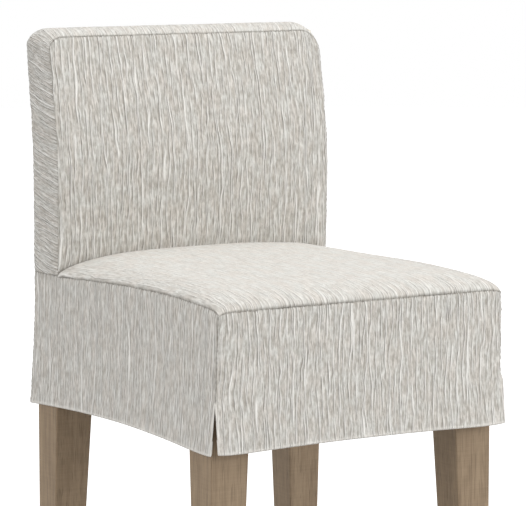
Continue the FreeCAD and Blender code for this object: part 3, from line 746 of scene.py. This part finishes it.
# Room round the padded seat: what it starts with, and what it keeps when it has swollen
FOAM_DRAWN_IN = 0.0055
TOP_ROOM = 0.0085
TOP_ROOM_KEPT = 0.0045
FRONT_ROOM = 0.0095
FRONT_ROOM_KEPT = 0.006
REAR_ROOM = 0.0015
REAR_ROOM_KEPT = 0.0008
REAR_OVERLAP = 0.0018
REAR_OVERLAP_KEPT = 0.0020
FOAM_START = 0.02
TACKED_EDGE = 0.012
LEG_COVER = 0.004
front_leg_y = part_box("front_leg_left")[0].y


def seat_pad_half(z):
    """Half width of the padded seat: over the rails below, drawn in to the foam above."""
    return PAD_HALF_WIDTH - FOAM_DRAWN_IN * clamp((z - FRAME_TOP) / (seam_z - FRAME_TOP))


def place_seat_pad(across, along, up):
    rear = seat_rear_y + (REAR_OVERLAP if up < 0.5 else -REAR_ROOM)
    y = lerp(front_y + FRONT_ROOM, rear, (along + 1) / 2)
    x = across * PAD_HALF_WIDTH
    z = lerp(PAD_BOTTOM, seat_z(x, y) - TOP_ROOM, (up + 1) / 2)
    return across * seat_pad_half(z), y, z


def hold_seat_pad(point):
    half = seat_pad_half(point.z)
    x = min(half, max(-half, point.x))
    rear = seat_rear_y - REAR_ROOM_KEPT if point.z > slit_z else seat_rear_y + REAR_OVERLAP_KEPT
    y = min(rear, max(front_y + FRONT_ROOM_KEPT, point.y))
    z = min(seat_z(x, y) - TOP_ROOM_KEPT, max(PAD_BOTTOM, point.z))
    if z < slit_z and drawn_tight(x, y, half, rear):
        return (math.copysign(half, x), rear, z), True
    return (x, y, z), False


def is_soft_seat(point):
    """The foam on the rails is soft, and so is the pad in front of them above its tacked edge."""
    before_legs = point.y < front_leg_y - LEG_COVER and point.z > PAD_BOTTOM + TACKED_EDGE
    return before_legs or point.z > FRAME_TOP + FOAM_START


seat_pad = swollen_pad("muslin_seat_pad", place_seat_pad, is_soft_seat, hold_seat_pad)

# Shape of the padded back
LIFT_LEAN = 0.0175
PAD_CORNER_RADIUS = 0.032
PAD_CORNER_LIFT = 0.010
PAD_TOP_DROP = 0.002
PAD_TOP_CROWN = 0.005
PAD_FRONT_START = 0.001
CREST_ROOM = 0.004
POST_COVER = 0.012
bend_z = seam_z + BACK_BEND * back_height


def pad_front(z):
    """Front of the padded back: one slope, so that the cover lifts off it freely."""
    return seat_rear_y + (inside_top_y - seat_rear_y) * max(0.0, z - seam_z) / back_height + PAD_INSET


def pad_rear(z):
    """Rear of the padded back, which runs along the cover's lift above the bend."""
    return rear_y + LIFT_LEAN * max(0.0, z - bend_z) / back_height - PAD_INSET


def back_pad_half(z):
    return PAD_HALF_WIDTH - corner_inset(z - PAD_CORNER_LIFT, PAD_CORNER_RADIUS)


def place_back_pad(across, along, up):
    z = lerp(PAD_BOTTOM, top_z - PAD_TOP_DROP + PAD_TOP_CROWN * (1 - along * along), (up + 1) / 2)
    y = lerp(pad_front(z) + PAD_FRONT_START, pad_rear(z), (along + 1) / 2)
    return across * back_pad_half(z), y, z


def hold_back_pad(point):
    z = min(crest_z - CREST_ROOM, max(PAD_BOTTOM, point.z))
    half = back_pad_half(z)
    x = min(half, max(-half, point.x))
    y = min(pad_rear(z), max(pad_front(z), point.y))
    for end in (pad_rear(z), pad_front(z)):
        if (end == pad_rear(z) or z < slit_z) and drawn_tight(x, y, half, end):
            return (math.copysign(half, x), end, z), True
    return (x, y, z), False


back_middle_y = 0.5 * (pad_front(bend_z) + pad_rear(bend_z)) - POST_COVER


def is_soft_back(point):
    """The foam before the posts is soft, above the seat."""
    return point.y < back_middle_y and point.z > slit_z


back_pad = swollen_pad("muslin_back_pad", place_back_pad, is_soft_back, hold_back_pad)


# Dust cover under the seat, tacked to the rails and slack between them
LEG_CLEARANCE = 0.001
TACKED_WIDTH = 0.028
SAG = 0.006
SAG_REACH = 0.19
PULL_HEIGHT = 0.0011
PULL_REACH = 0.02
PULL_RATE = 34
DUST_CLOTH = 0.0006


def dust_sheet():
    low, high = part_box("dust_cover")
    front_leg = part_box("front_leg_right")
    rear_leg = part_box("rear_leg_right")
    grid = bmesh.new()
    bmesh.ops.create_grid(grid, x_segments=76, y_segments=82, size=1)
    for vert in grid.verts:
        vert.co = (lerp(low.x, high.x, (vert.co.x + 1) / 2), lerp(low.y, high.y, (vert.co.y + 1) / 2), 0)
    at_legs = []
    for face in grid.faces:
        middle = face.calc_center_median()
        beside = abs(middle.x) > front_leg[0].x - LEG_CLEARANCE
        if beside and not front_leg[1].y + LEG_CLEARANCE < middle.y < rear_leg[0].y - LEG_CLEARANCE:
            at_legs.append(face)
    bmesh.ops.delete(grid, geom=at_legs, context="FACES")
    for vert in grid.verts:
        edge = min(high.x - abs(vert.co.x), vert.co.y - low.y, high.y - vert.co.y)
        inner = clamp((edge - TACKED_WIDTH) / SAG_REACH)
        sag = SAG * (1 - (1 - inner) ** 2)
        pull = noise.noise(Vector((vert.co.x * PULL_RATE, vert.co.y * PULL_RATE, 9.5)))
        sag += PULL_HEIGHT * pull * clamp((edge - TACKED_WIDTH) / PULL_REACH) * (1 - 0.6 * inner)
        vert.co.z = high.z - 0.0001 - sag
    bmesh.ops.recalc_face_normals(grid, faces=grid.faces)
    for face in grid.faces:
        face.smooth = True
        if face.normal.z > 0:
            face.normal_flip()
    flat = sum(face.calc_area() for face in grid.faces)
    piece = link("dust_sheet", made_mesh("dust_sheet", grid))
    thicken(piece, DUST_CLOTH)
    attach(piece, "stool")
    return piece


under_sheet = dust_sheet()


# Node tools


def set_inputs(tree, node, inputs):
    """Sets a node's inputs to values, or links them to sockets. An input is named, or is i and its number."""
    for key, value in inputs.items():
        socket = node.inputs[int(key[1:])] if key[0] == "i" and key[1:].isdigit() else node.inputs[key]
        if isinstance(value, bpy.types.NodeSocket):
            tree.links.new(value, socket)
        else:
            socket.default_value = value


def add(tree, kind, settings=None, **inputs):
    """The outputs of a new node with these settings and inputs."""
    made = tree.nodes.new(kind)
    for key, value in (settings or {}).items():
        setattr(made, key, value)
    set_inputs(tree, made, inputs)
    return made.outputs


def maths(tree, operation, first, second=0.0, third=0.0):
    settings = {"operation": operation}
    return add(tree, "ShaderNodeMath", settings, i0=first, i1=second, i2=third)[0]


def linear(colour):
    """A colour read off as 0 to 255 on screen, as the nodes want it."""
    levels = []
    for level in colour:
        part = level / 255
        levels.append(part / 12.92 if part <= 0.04045 else ((part + 0.055) / 1.055) ** 2.4)
    return (*levels, 1.0)


def blended(tree, part, first, second):
    mix = add(tree, "ShaderNodeMix", {"data_type": "RGBA"}, i0=part, i6=first, i7=second)
    return mix[2]


def spread(tree, value, low, high):
    """A value stretched so that low becomes 0 and high becomes 1, smoothly."""
    settings = {"interpolation_type": "SMOOTHSTEP"}
    return add(tree, "ShaderNodeMapRange", settings, Value=value, **{"From Min": low, "From Max": high})[0]


def clouds(tree, across, along, scales, detail, shift):
    """Noise on two coordinates, each with its own scale, from 0 to 1."""
    x = maths(tree, "MULTIPLY_ADD", across, scales[0], shift)
    y = maths(tree, "MULTIPLY_ADD", along, scales[1], 1.7 * shift)
    place = add(tree, "ShaderNodeCombineXYZ", None, X=x, Y=y)[0]
    settings = {"noise_dimensions": "2D"}
    return add(tree, "ShaderNodeTexNoise", settings, Vector=place, Scale=1.0, Detail=detail)[0]


def stretched(tree, place, scales, detail, shift):
    """Noise on three coordinates, drawn out along the ways that have a small scale."""
    settings = {"operation": "MULTIPLY_ADD"}
    shifts = (shift, 2 * shift, 3 * shift)
    sized = add(tree, "ShaderNodeVectorMath", settings, i0=place, i1=scales, i2=shifts)[0]
    return add(tree, "ShaderNodeTexNoise", None, Vector=sized, Scale=1.0, Detail=detail)[0]


def bumped(tree, height, strength, distance):
    return add(tree, "ShaderNodeBump", None, Strength=strength, Distance=distance, Height=height)[0]


def new_group(name, inputs, outputs):
    group = bpy.data.node_groups.new(name, "ShaderNodeTree")
    for label, kind in inputs:
        group.interface.new_socket(label, in_out="INPUT", socket_type=kind)
    for label, kind in outputs:
        group.interface.new_socket(label, in_out="OUTPUT", socket_type=kind)
    return group


def new_material(name):
    material = bpy.data.materials.new(name)
    material.use_nodes = True
    tree = material.node_tree
    return material, tree, tree.nodes["Principled BSDF"]


def object_place(tree):
    return add(tree, "ShaderNodeTexCoord")["Object"]


# The cover's cloth
WARM_GROUND = (219, 214, 207)
COOL_GROUND = (221, 220, 215)
FIBRE_SHADE = (148, 142, 132)
# Painted shadow in the hollows beside the slubs
HOLLOW_PAINTED_SHADOW = (118, 111, 101)
# Paler slub yarn, with a painted highlight on the raised rib
SLUB_TINT_AND_HIGHLIGHT = (250, 248, 243)
# Painted highlight along folds
FOLD_PAINTED_HIGHLIGHT = (245, 241, 234)
# Painted shade along the seams
SEAM_PAINTED_SHADE = (98, 90, 76)
HOLLOW_OFFSET = 0.0016
SWAY = 0.0040


def ridge_lines(tree, across, along, count, drift, width, shift):
    """Thin lines of even width, so many to the metre, which wander as they run along."""
    wander = maths(tree, "MULTIPLY", clouds(tree, across, along, (34, 8), 1.0, shift), drift)
    turn = maths(tree, "FRACT", maths(tree, "MULTIPLY_ADD", across, count, wander))
    return spread(tree, maths(tree, "ABSOLUTE", maths(tree, "SUBTRACT", turn, 0.5)), width, 0.0)


def slub_weave():
    """Bark-like cloth: long raised slubs with hollows beside them, along the second coordinate. The colour
    paints shadow in the hollows and a highlight on the slubs over their paler yarn; the second input scales
    the relief, these painted marks and the fibre tone.
    """
    inputs = [("Vector", "NodeSocketVector"), ("Rise", "NodeSocketFloat")]
    outputs = [("Color", "NodeSocketColor"), ("Height", "NodeSocketFloat")]
    group = new_group("slub_weave", inputs, outputs)
    given = add(group, "NodeGroupInput")
    place = add(group, "ShaderNodeSeparateXYZ", None, Vector=given[0])
    across, along, rise = place[0], place[1], given[1]
    sway = maths(group, "SUBTRACT", clouds(group, across, along, (60, 30), detail=1.0, shift=5.3), 0.5)
    bent = maths(group, "MULTIPLY_ADD", sway, SWAY, across)
    runs = spread(group, clouds(group, bent, along, (55, 13), detail=0.0, shift=71.3), 0.38, 0.54)
    short_runs = spread(group, clouds(group, bent, along, (130, 26), detail=0.0, shift=83.9), 0.36, 0.54)

    def ridges(place):
        long_ones = ridge_lines(group, place, along, count=52, drift=0.9, width=0.10, shift=11.1)
        short_ones = ridge_lines(group, place, along, count=118, drift=1.8, width=0.18, shift=23.9)
        long_ones = maths(group, "MULTIPLY", long_ones, runs)
        short_ones = maths(group, "MULTIPLY", short_ones, maths(group, "MULTIPLY", short_runs, 0.80))
        # Scaled by the second input, which fades the painted highlight and shadow along with the relief
        return maths(group, "MULTIPLY", maths(group, "MAXIMUM", long_ones, short_ones), rise)

    slubs = ridges(bent)
    hollows = ridges(maths(group, "ADD", bent, HOLLOW_OFFSET))
    fibres = clouds(group, bent, along, (380, 48), detail=2.0, shift=51.3)
    knots = clouds(group, across, along, (260, 120), detail=2.0, shift=37.7)
    cast = clouds(group, across, along, (55, 30), detail=2.0, shift=64.1)
    ground = blended(group, spread(group, cast, 0.3, 0.7), linear(WARM_GROUND), linear(COOL_GROUND))
    shade = spread(group, fibres, 0.3, 0.7)
    shade = maths(group, "MULTIPLY_ADD", spread(group, knots, 0.3, 0.7), 0.6, shade)
    # The fibre tone fades with the relief and painted marks too, so the panels that face up come out lighter
    shade = maths(group, "MULTIPLY", shade, rise)
    ground = blended(group, maths(group, "MULTIPLY", shade, 0.50), ground, linear(FIBRE_SHADE))
    # Painted shadow in the hollows beside the slubs
    ground = blended(group, maths(group, "MULTIPLY", hollows, 0.50), ground, linear(HOLLOW_PAINTED_SHADOW))
    # Paler slub yarn, with a painted highlight on the raised rib
    ground = blended(group, maths(group, "MULTIPLY", slubs, 0.85), ground, linear(SLUB_TINT_AND_HIGHLIGHT))
    height = maths(group, "SUBTRACT", slubs, maths(group, "MULTIPLY", hollows, 0.35))
    height = maths(group, "MULTIPLY_ADD", shade, -0.5, height)
    add(group, "NodeGroupOutput", None, Color=ground, Height=height)
    return group


def cover_cloth():
    """The weave, with a painted highlight along the folds of hems and vents and a painted shade along the
    seams, dotted at the stitches.
    """
    material, tree, surface = new_material("bark_weave_cloth")
    uv = add(tree, "ShaderNodeUVMap", {"uv_map": "weave"})[0]
    # How far the slubs stand up, and how strongly their painted highlight and shadow show
    rise = add(tree, "ShaderNodeAttribute", {"attribute_name": "rise"})["Fac"]
    painted_seam_shade = add(tree, "ShaderNodeAttribute", {"attribute_name": "painted_seam_shade"})["Fac"]
    painted_fold_highlight = add(tree, "ShaderNodeAttribute", {"attribute_name": "painted_fold_highlight"})["Fac"]
    weave = add(tree, "ShaderNodeGroup", {"node_tree": slub_weave()}, Vector=uv, Rise=rise)
    # Painted highlight along the folds of hems and vents
    colour = blended(tree, maths(tree, "MULTIPLY", painted_fold_highlight, 0.6), weave[0], linear(FOLD_PAINTED_HIGHLIGHT))
    # Painted shade along the seams, dotted at the stitches
    colour = blended(tree, maths(tree, "MULTIPLY", painted_seam_shade, 0.66), colour, linear(SEAM_PAINTED_SHADE))
    set_inputs(tree, surface, {
        "Base Color": colour,
        "Normal": bumped(tree, weave[1], strength=0.8, distance=0.0018),
        "Roughness": 0.92,
        "Specular IOR Level": 0.18,
        "Sheen Weight": 0.12,
        "Sheen Roughness": 0.6,
    })
    return material


# The frame's wood, cloths, metal and plastic


def long_grain():
    """Wood with its grain along the third coordinate: a tone from 0 to 1, the pores, and the height."""
    outputs = [("Tone", "NodeSocketFloat"), ("Pores", "NodeSocketFloat"), ("Height", "NodeSocketFloat")]
    group = new_group("long_grain", [("Vector", "NodeSocketVector")], outputs)
    place = add(group, "NodeGroupInput")[0]
    cast = stretched(group, place, (22, 22, 2.6), detail=1.0, shift=3.1)
    lines = stretched(group, place, (150, 150, 5), detail=3.0, shift=7.7)
    fine = stretched(group, place, (520, 520, 14), detail=2.0, shift=12.9)
    saw = stretched(group, place, (18, 18, 430), detail=1.0, shift=21.3)
    pores = spread(group, stretched(group, place, (900, 900, 32), detail=0.0, shift=33.5), 0.60, 0.72)
    mottle = stretched(group, place, (60, 60, 34), detail=2.0, shift=41.9)
    tone = maths(group, "MULTIPLY", cast, 0.35)
    tone = maths(group, "MULTIPLY_ADD", spread(group, lines, 0.25, 0.75), 0.30, tone)
    tone = maths(group, "MULTIPLY_ADD", maths(group, "SUBTRACT", fine, 0.5), 0.35, tone)
    tone = maths(group, "MULTIPLY_ADD", maths(group, "SUBTRACT", saw, 0.5), 0.22, tone)
    tone = maths(group, "MULTIPLY_ADD", mottle, 0.35, tone)
    height = maths(group, "MULTIPLY_ADD", saw, 0.25, maths(group, "MULTIPLY", fine, 0.6))
    height = maths(group, "SUBTRACT", height, maths(group, "MULTIPLY", pores, 0.5))
    add(group, "NodeGroupOutput", None, Tone=tone, Pores=pores, Height=height)
    return group


def wood(name, grain, turn, dark, light, pore, rough):
    """A wood finish; turn is the rotation that brings the piece's length onto the third coordinate."""
    material, tree, surface = new_material(name)
    turned = add(tree, "ShaderNodeMapping", None, Vector=object_place(tree), Rotation=turn)[0]
    marks = add(tree, "ShaderNodeGroup", {"node_tree": grain}, Vector=turned)
    colour = blended(tree, marks["Tone"], linear(dark), linear(light))
    set_inputs(tree, surface, {
        "Base Color": blended(tree, maths(tree, "MULTIPLY", marks["Pores"], 0.30), colour, linear(pore)),
        "Normal": bumped(tree, marks["Height"], strength=0.35, distance=0.0006),
        "Roughness": maths(tree, "MULTIPLY_ADD", marks["Tone"], 0.18, rough),
        "Specular IOR Level": 0.3,
    })
    return material


def thread_cross():
    """Plain woven threads on all faces: their shade and their height."""
    inputs = [("Vector", "NodeSocketVector"), ("Pitch", "NodeSocketFloat")]
    outputs = [("Shade", "NodeSocketFloat"), ("Height", "NodeSocketFloat")]
    group = new_group("thread_cross", inputs, outputs)
    given = add(group, "NodeGroupInput")
    place = add(group, "ShaderNodeVectorMath", {"operation": "SCALE"}, Vector=given[0], Scale=given[1])[0]
    one = stretched(group, place, (1, 0.2, 0.2), detail=1.0, shift=2.3)
    two = stretched(group, place, (0.2, 1, 0.2), detail=1.0, shift=9.1)
    three = stretched(group, place, (0.2, 0.2, 1), detail=1.0, shift=17.9)
    shade = maths(group, "ADD", maths(group, "ADD", one, two), three)
    shade = maths(group, "DIVIDE", shade, 3.0)
    add(group, "NodeGroupOutput", None, Shade=spread(group, shade, 0.38, 0.62), Height=shade)
    return group


def woven(name, threads, pitch, dark, light, rough, depth):
    """A plain cloth in two tones, with slow clouding over it."""
    material, tree, surface = new_material(name)
    place = object_place(tree)
    marks = add(tree, "ShaderNodeGroup", {"node_tree": threads}, Vector=place, Pitch=pitch)
    clouding = spread(tree, stretched(tree, place, (14, 14, 14), detail=2.0, shift=4.4), 0.3, 0.7)
    tone = maths(tree, "MULTIPLY_ADD", clouding, 0.12, maths(tree, "MULTIPLY", marks["Shade"], 0.85))
    set_inputs(tree, surface, {
        "Base Color": blended(tree, tone, linear(dark), linear(light)),
        "Normal": bumped(tree, marks["Height"], strength=0.5, distance=depth),
        "Roughness": rough,
        "Specular IOR Level": 0.2,
    })
    return material


def brushed_metal(name, drawn, dark, light, rough):
    """Metal brushed along one way, with dull scuffs and rubbed patches."""
    material, tree, surface = new_material(name)
    place = object_place(tree)
    lines = stretched(tree, place, drawn, detail=2.0, shift=5.5)
    scuffs = spread(tree, stretched(tree, place, (40, 160, 160), detail=3.0, shift=19.0), 0.52, 0.72)
    tone = maths(tree, "MULTIPLY_ADD", scuffs, -0.3, spread(tree, lines, 0.3, 0.7))
    spots = maths(tree, "MULTIPLY_ADD", scuffs, 0.12, maths(tree, "MULTIPLY_ADD", lines, 0.15, rough))
    set_inputs(tree, surface, {
        "Base Color": blended(tree, tone, linear(dark), linear(light)),
        "Normal": bumped(tree, lines, strength=0.1, distance=0.0001),
        "Roughness": spots,
        "Metallic": 1.0,
    })
    return material


def glide_plastic():
    """Dark moulded plastic, rubbed paler in patches."""
    material, tree, surface = new_material("glide_plastic")
    place = object_place(tree)
    grit = stretched(tree, place, (1400, 1400, 1400), detail=1.0, shift=8.8)
    rub = spread(tree, stretched(tree, place, (110, 110, 300), detail=2.0, shift=2.7), 0.45, 0.75)
    worn = maths(tree, "MULTIPLY", rub, 0.6)
    set_inputs(tree, surface, {
        "Base Color": blended(tree, worn, linear((38, 35, 32)), linear((84, 79, 73))),
        "Normal": bumped(tree, grit, strength=0.4, distance=0.0002),
        "Roughness": maths(tree, "MULTIPLY_ADD", rub, 0.2, 0.45),
    })
    return material


grain = long_grain()
threads = thread_cross()
QUARTER = math.pi / 2
TURNS = {"crosswise": (0, QUARTER, 0), "lengthwise": (QUARTER, 0, 0), "upright": (0, 0, 0)}
woods = {"leg_wood": [], "frame_wood": []}
for word, turn in TURNS.items():
    woods["leg_wood"].append(wood(
        f"weathered_wood_{word}", grain, turn,
        dark=(106, 86, 64), light=(164, 144, 119), pore=(74, 58, 43), rough=0.52,
    ))
    woods["frame_wood"].append(wood(
        f"frame_wood_{word}", grain, turn,
        dark=(168, 134, 92), light=(208, 178, 134), pore=(128, 96, 62), rough=0.6,
    ))
muslin_cloth = woven(
    "muslin_cloth", threads, pitch=900.0,
    dark=(212, 205, 189), light=(230, 224, 209), rough=0.9, depth=0.0005,
)
dust_cloth = woven(
    "black_dust_cloth", threads, pitch=700.0,
    dark=(22, 22, 23), light=(46, 45, 44), rough=0.85, depth=0.0005,
)
finishes = {
    "deck_cloth": woven(
        "deck_cloth", threads, pitch=800.0,
        dark=(150, 126, 92), light=(190, 166, 126), rough=0.9, depth=0.0006,
    ),
    "webbing": woven(
        "jute_webbing", threads, pitch=420.0,
        dark=(138, 108, 72), light=(186, 156, 112), rough=0.9, depth=0.0010,
    ),
    "plated_steel": brushed_metal(
        "plated_steel", drawn=(900, 900, 40), dark=(120, 118, 112), light=(190, 188, 180), rough=0.28,
    ),
    "kick_plate_steel": brushed_metal(
        "brushed_kick_plate", drawn=(8, 1100, 1100), dark=(148, 144, 137), light=(174, 170, 163), rough=0.36,
    ),
    "leveler_plastic": glide_plastic(),
}


def dress(piece, finish):
    piece.data.materials.clear()
    piece.data.materials.append(finish)


# Nodes that a soft piece stands for have none of these slots, and stay as they are
for entry in frame["record"]["subparts"]:
    slot = entry["material_slot"]
    if slot in woods:
        low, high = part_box(entry["node"])
        longest = max(range(3), key=lambda way: high[way] - low[way])
        dress(frame["nodes"][entry["node"]], woods[slot][longest])
    elif slot in finishes:
        dress(frame["nodes"][entry["node"]], finishes[slot])
dress(seat_pad, muslin_cloth)
dress(back_pad, muslin_cloth)
dress(under_sheet, dust_cloth)
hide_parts("seat_muslin", "seat_foam", "front_rail_pad")
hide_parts("back_muslin", "back_foam", "back_top_pad")
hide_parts("dust_cover")

cloth = cover_cloth()
for piece in panels:
    dress(piece, cloth)
    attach(piece, "slipcover")

for piece, node, width, length, held, rests_on in (
    (inside_back, "cover_inside_back", 2 * half_width, back_height + TUCK, "stretched", [back_pad]),
    (outside_back, "cover_outside_back", 2 * half_width, OUTSIDE_DROP + HEM_TURN, "hung", [back_pad]),
    (boxing, "cover_back_boxing", BOXING_LENGTH, BOXING_WIDTH, "stretched", [back_pad]),
    (seat_top, "cover_seat_top", 2 * half_width, seat_length, "stretched", [seat_pad]),
    (front_skirt, "cover_front_skirt", 2 * half_width, SKIRT_DROP + HEM_TURN, "hung", [seat_pad]),
    (side_skirts[0], "cover_skirt_left", SIDE_LENGTH, SKIRT_DROP + HEM_TURN, "hung", [seat_pad]),
    (side_skirts[1], "cover_skirt_right", SIDE_LENGTH, SKIRT_DROP + HEM_TURN, "hung", [seat_pad]),
):
    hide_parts(node)


# Floor, light and camera. The levelers screw out this far, so the floor lies as far below the feet.
LEVELER_TRAVEL = 0.008
FLOOR_RADIUS = 14
FLOOR_GLOW = 0.62
WORLD_LIGHT = 0.58
WHITE = (1, 1, 1, 1)


def seen_rays(tree):
    """1 for the rays that show the background itself, 0 for those that only light the scene."""
    path = add(tree, "ShaderNodeLightPath")
    seen = maths(tree, "MAXIMUM", path["Is Camera Ray"], path["Is Glossy Ray"])
    return maths(tree, "MAXIMUM", seen, path["Is Transmission Ray"])


def stage_floor():
    floor = bmesh.new()
    bmesh.ops.create_circle(floor, cap_ends=True, segments=64, radius=FLOOR_RADIUS)
    bmesh.ops.translate(floor, verts=floor.verts, vec=(0, 0, -LEVELER_TRAVEL))
    piece = link("studio_floor", made_mesh("studio_floor", floor))
    material, tree, surface = new_material("white_floor")
    set_inputs(tree, surface, {
        "Base Color": (0.82, 0.82, 0.82, 1),
        "Roughness": 0.9,
        "Emission Color": WHITE,
        "Emission Strength": maths(tree, "MULTIPLY", seen_rays(tree), FLOOR_GLOW),
    })
    dress(piece, material)


def studio_world():
    world = bpy.data.worlds.new("studio")
    scene.world = world
    world.use_nodes = True
    tree = world.node_tree
    level = add(tree, "ShaderNodeMix", None, i0=seen_rays(tree), i2=WORLD_LIGHT, i3=1.0)[0]
    set_inputs(tree, tree.nodes["Background"], {"Color": WHITE, "Strength": level})


def soft_lamp(name, place, target, size, power):
    lamp = bpy.data.lights.new(name, "AREA")
    lamp.shape = "DISK"
    lamp.size = size
    lamp.energy = power
    thing = link(name, lamp)
    thing.location = place
    thing.rotation_euler = (Vector(target) - Vector(place)).to_track_quat("-Z", "Y").to_euler()


stage_floor()
studio_world()
soft_lamp("overhead", place=(0.3, -0.3, 4.5), target=(0, 0, 0.8), size=3.4, power=84)
soft_lamp("front_right", place=(2.0, -2.9, 1.6), target=(0, 0, 0.7), size=1.4, power=46)
soft_lamp("left_fill", place=(-3.0, -0.6, 1.6), target=(0, 0, 0.8), size=1.8, power=20)

# The camera stands where the photograph was taken from: measured from the seat's front and the hem
CAMERA_YAW = math.radians(31.83)
CAMERA_PITCH = math.radians(6.84)
CAMERA_FROM_SEAT = Vector((-2.2313, -3.3325, 0.7379))
FOCAL_PIXELS = 2982
IMAGE_WIDTH = 526
SENSOR_WIDTH = 36
view = bpy.data.cameras.new("photo_view")
view.sensor_width = SENSOR_WIDTH
view.lens = FOCAL_PIXELS / IMAGE_WIDTH * view.sensor_width
camera = link("photo_view", view)
camera.location = Vector((0, front_y, hem_z)) + CAMERA_FROM_SEAT
camera.rotation_euler = (math.pi / 2 - CAMERA_PITCH, 0, -CAMERA_YAW)
scene.camera = camera
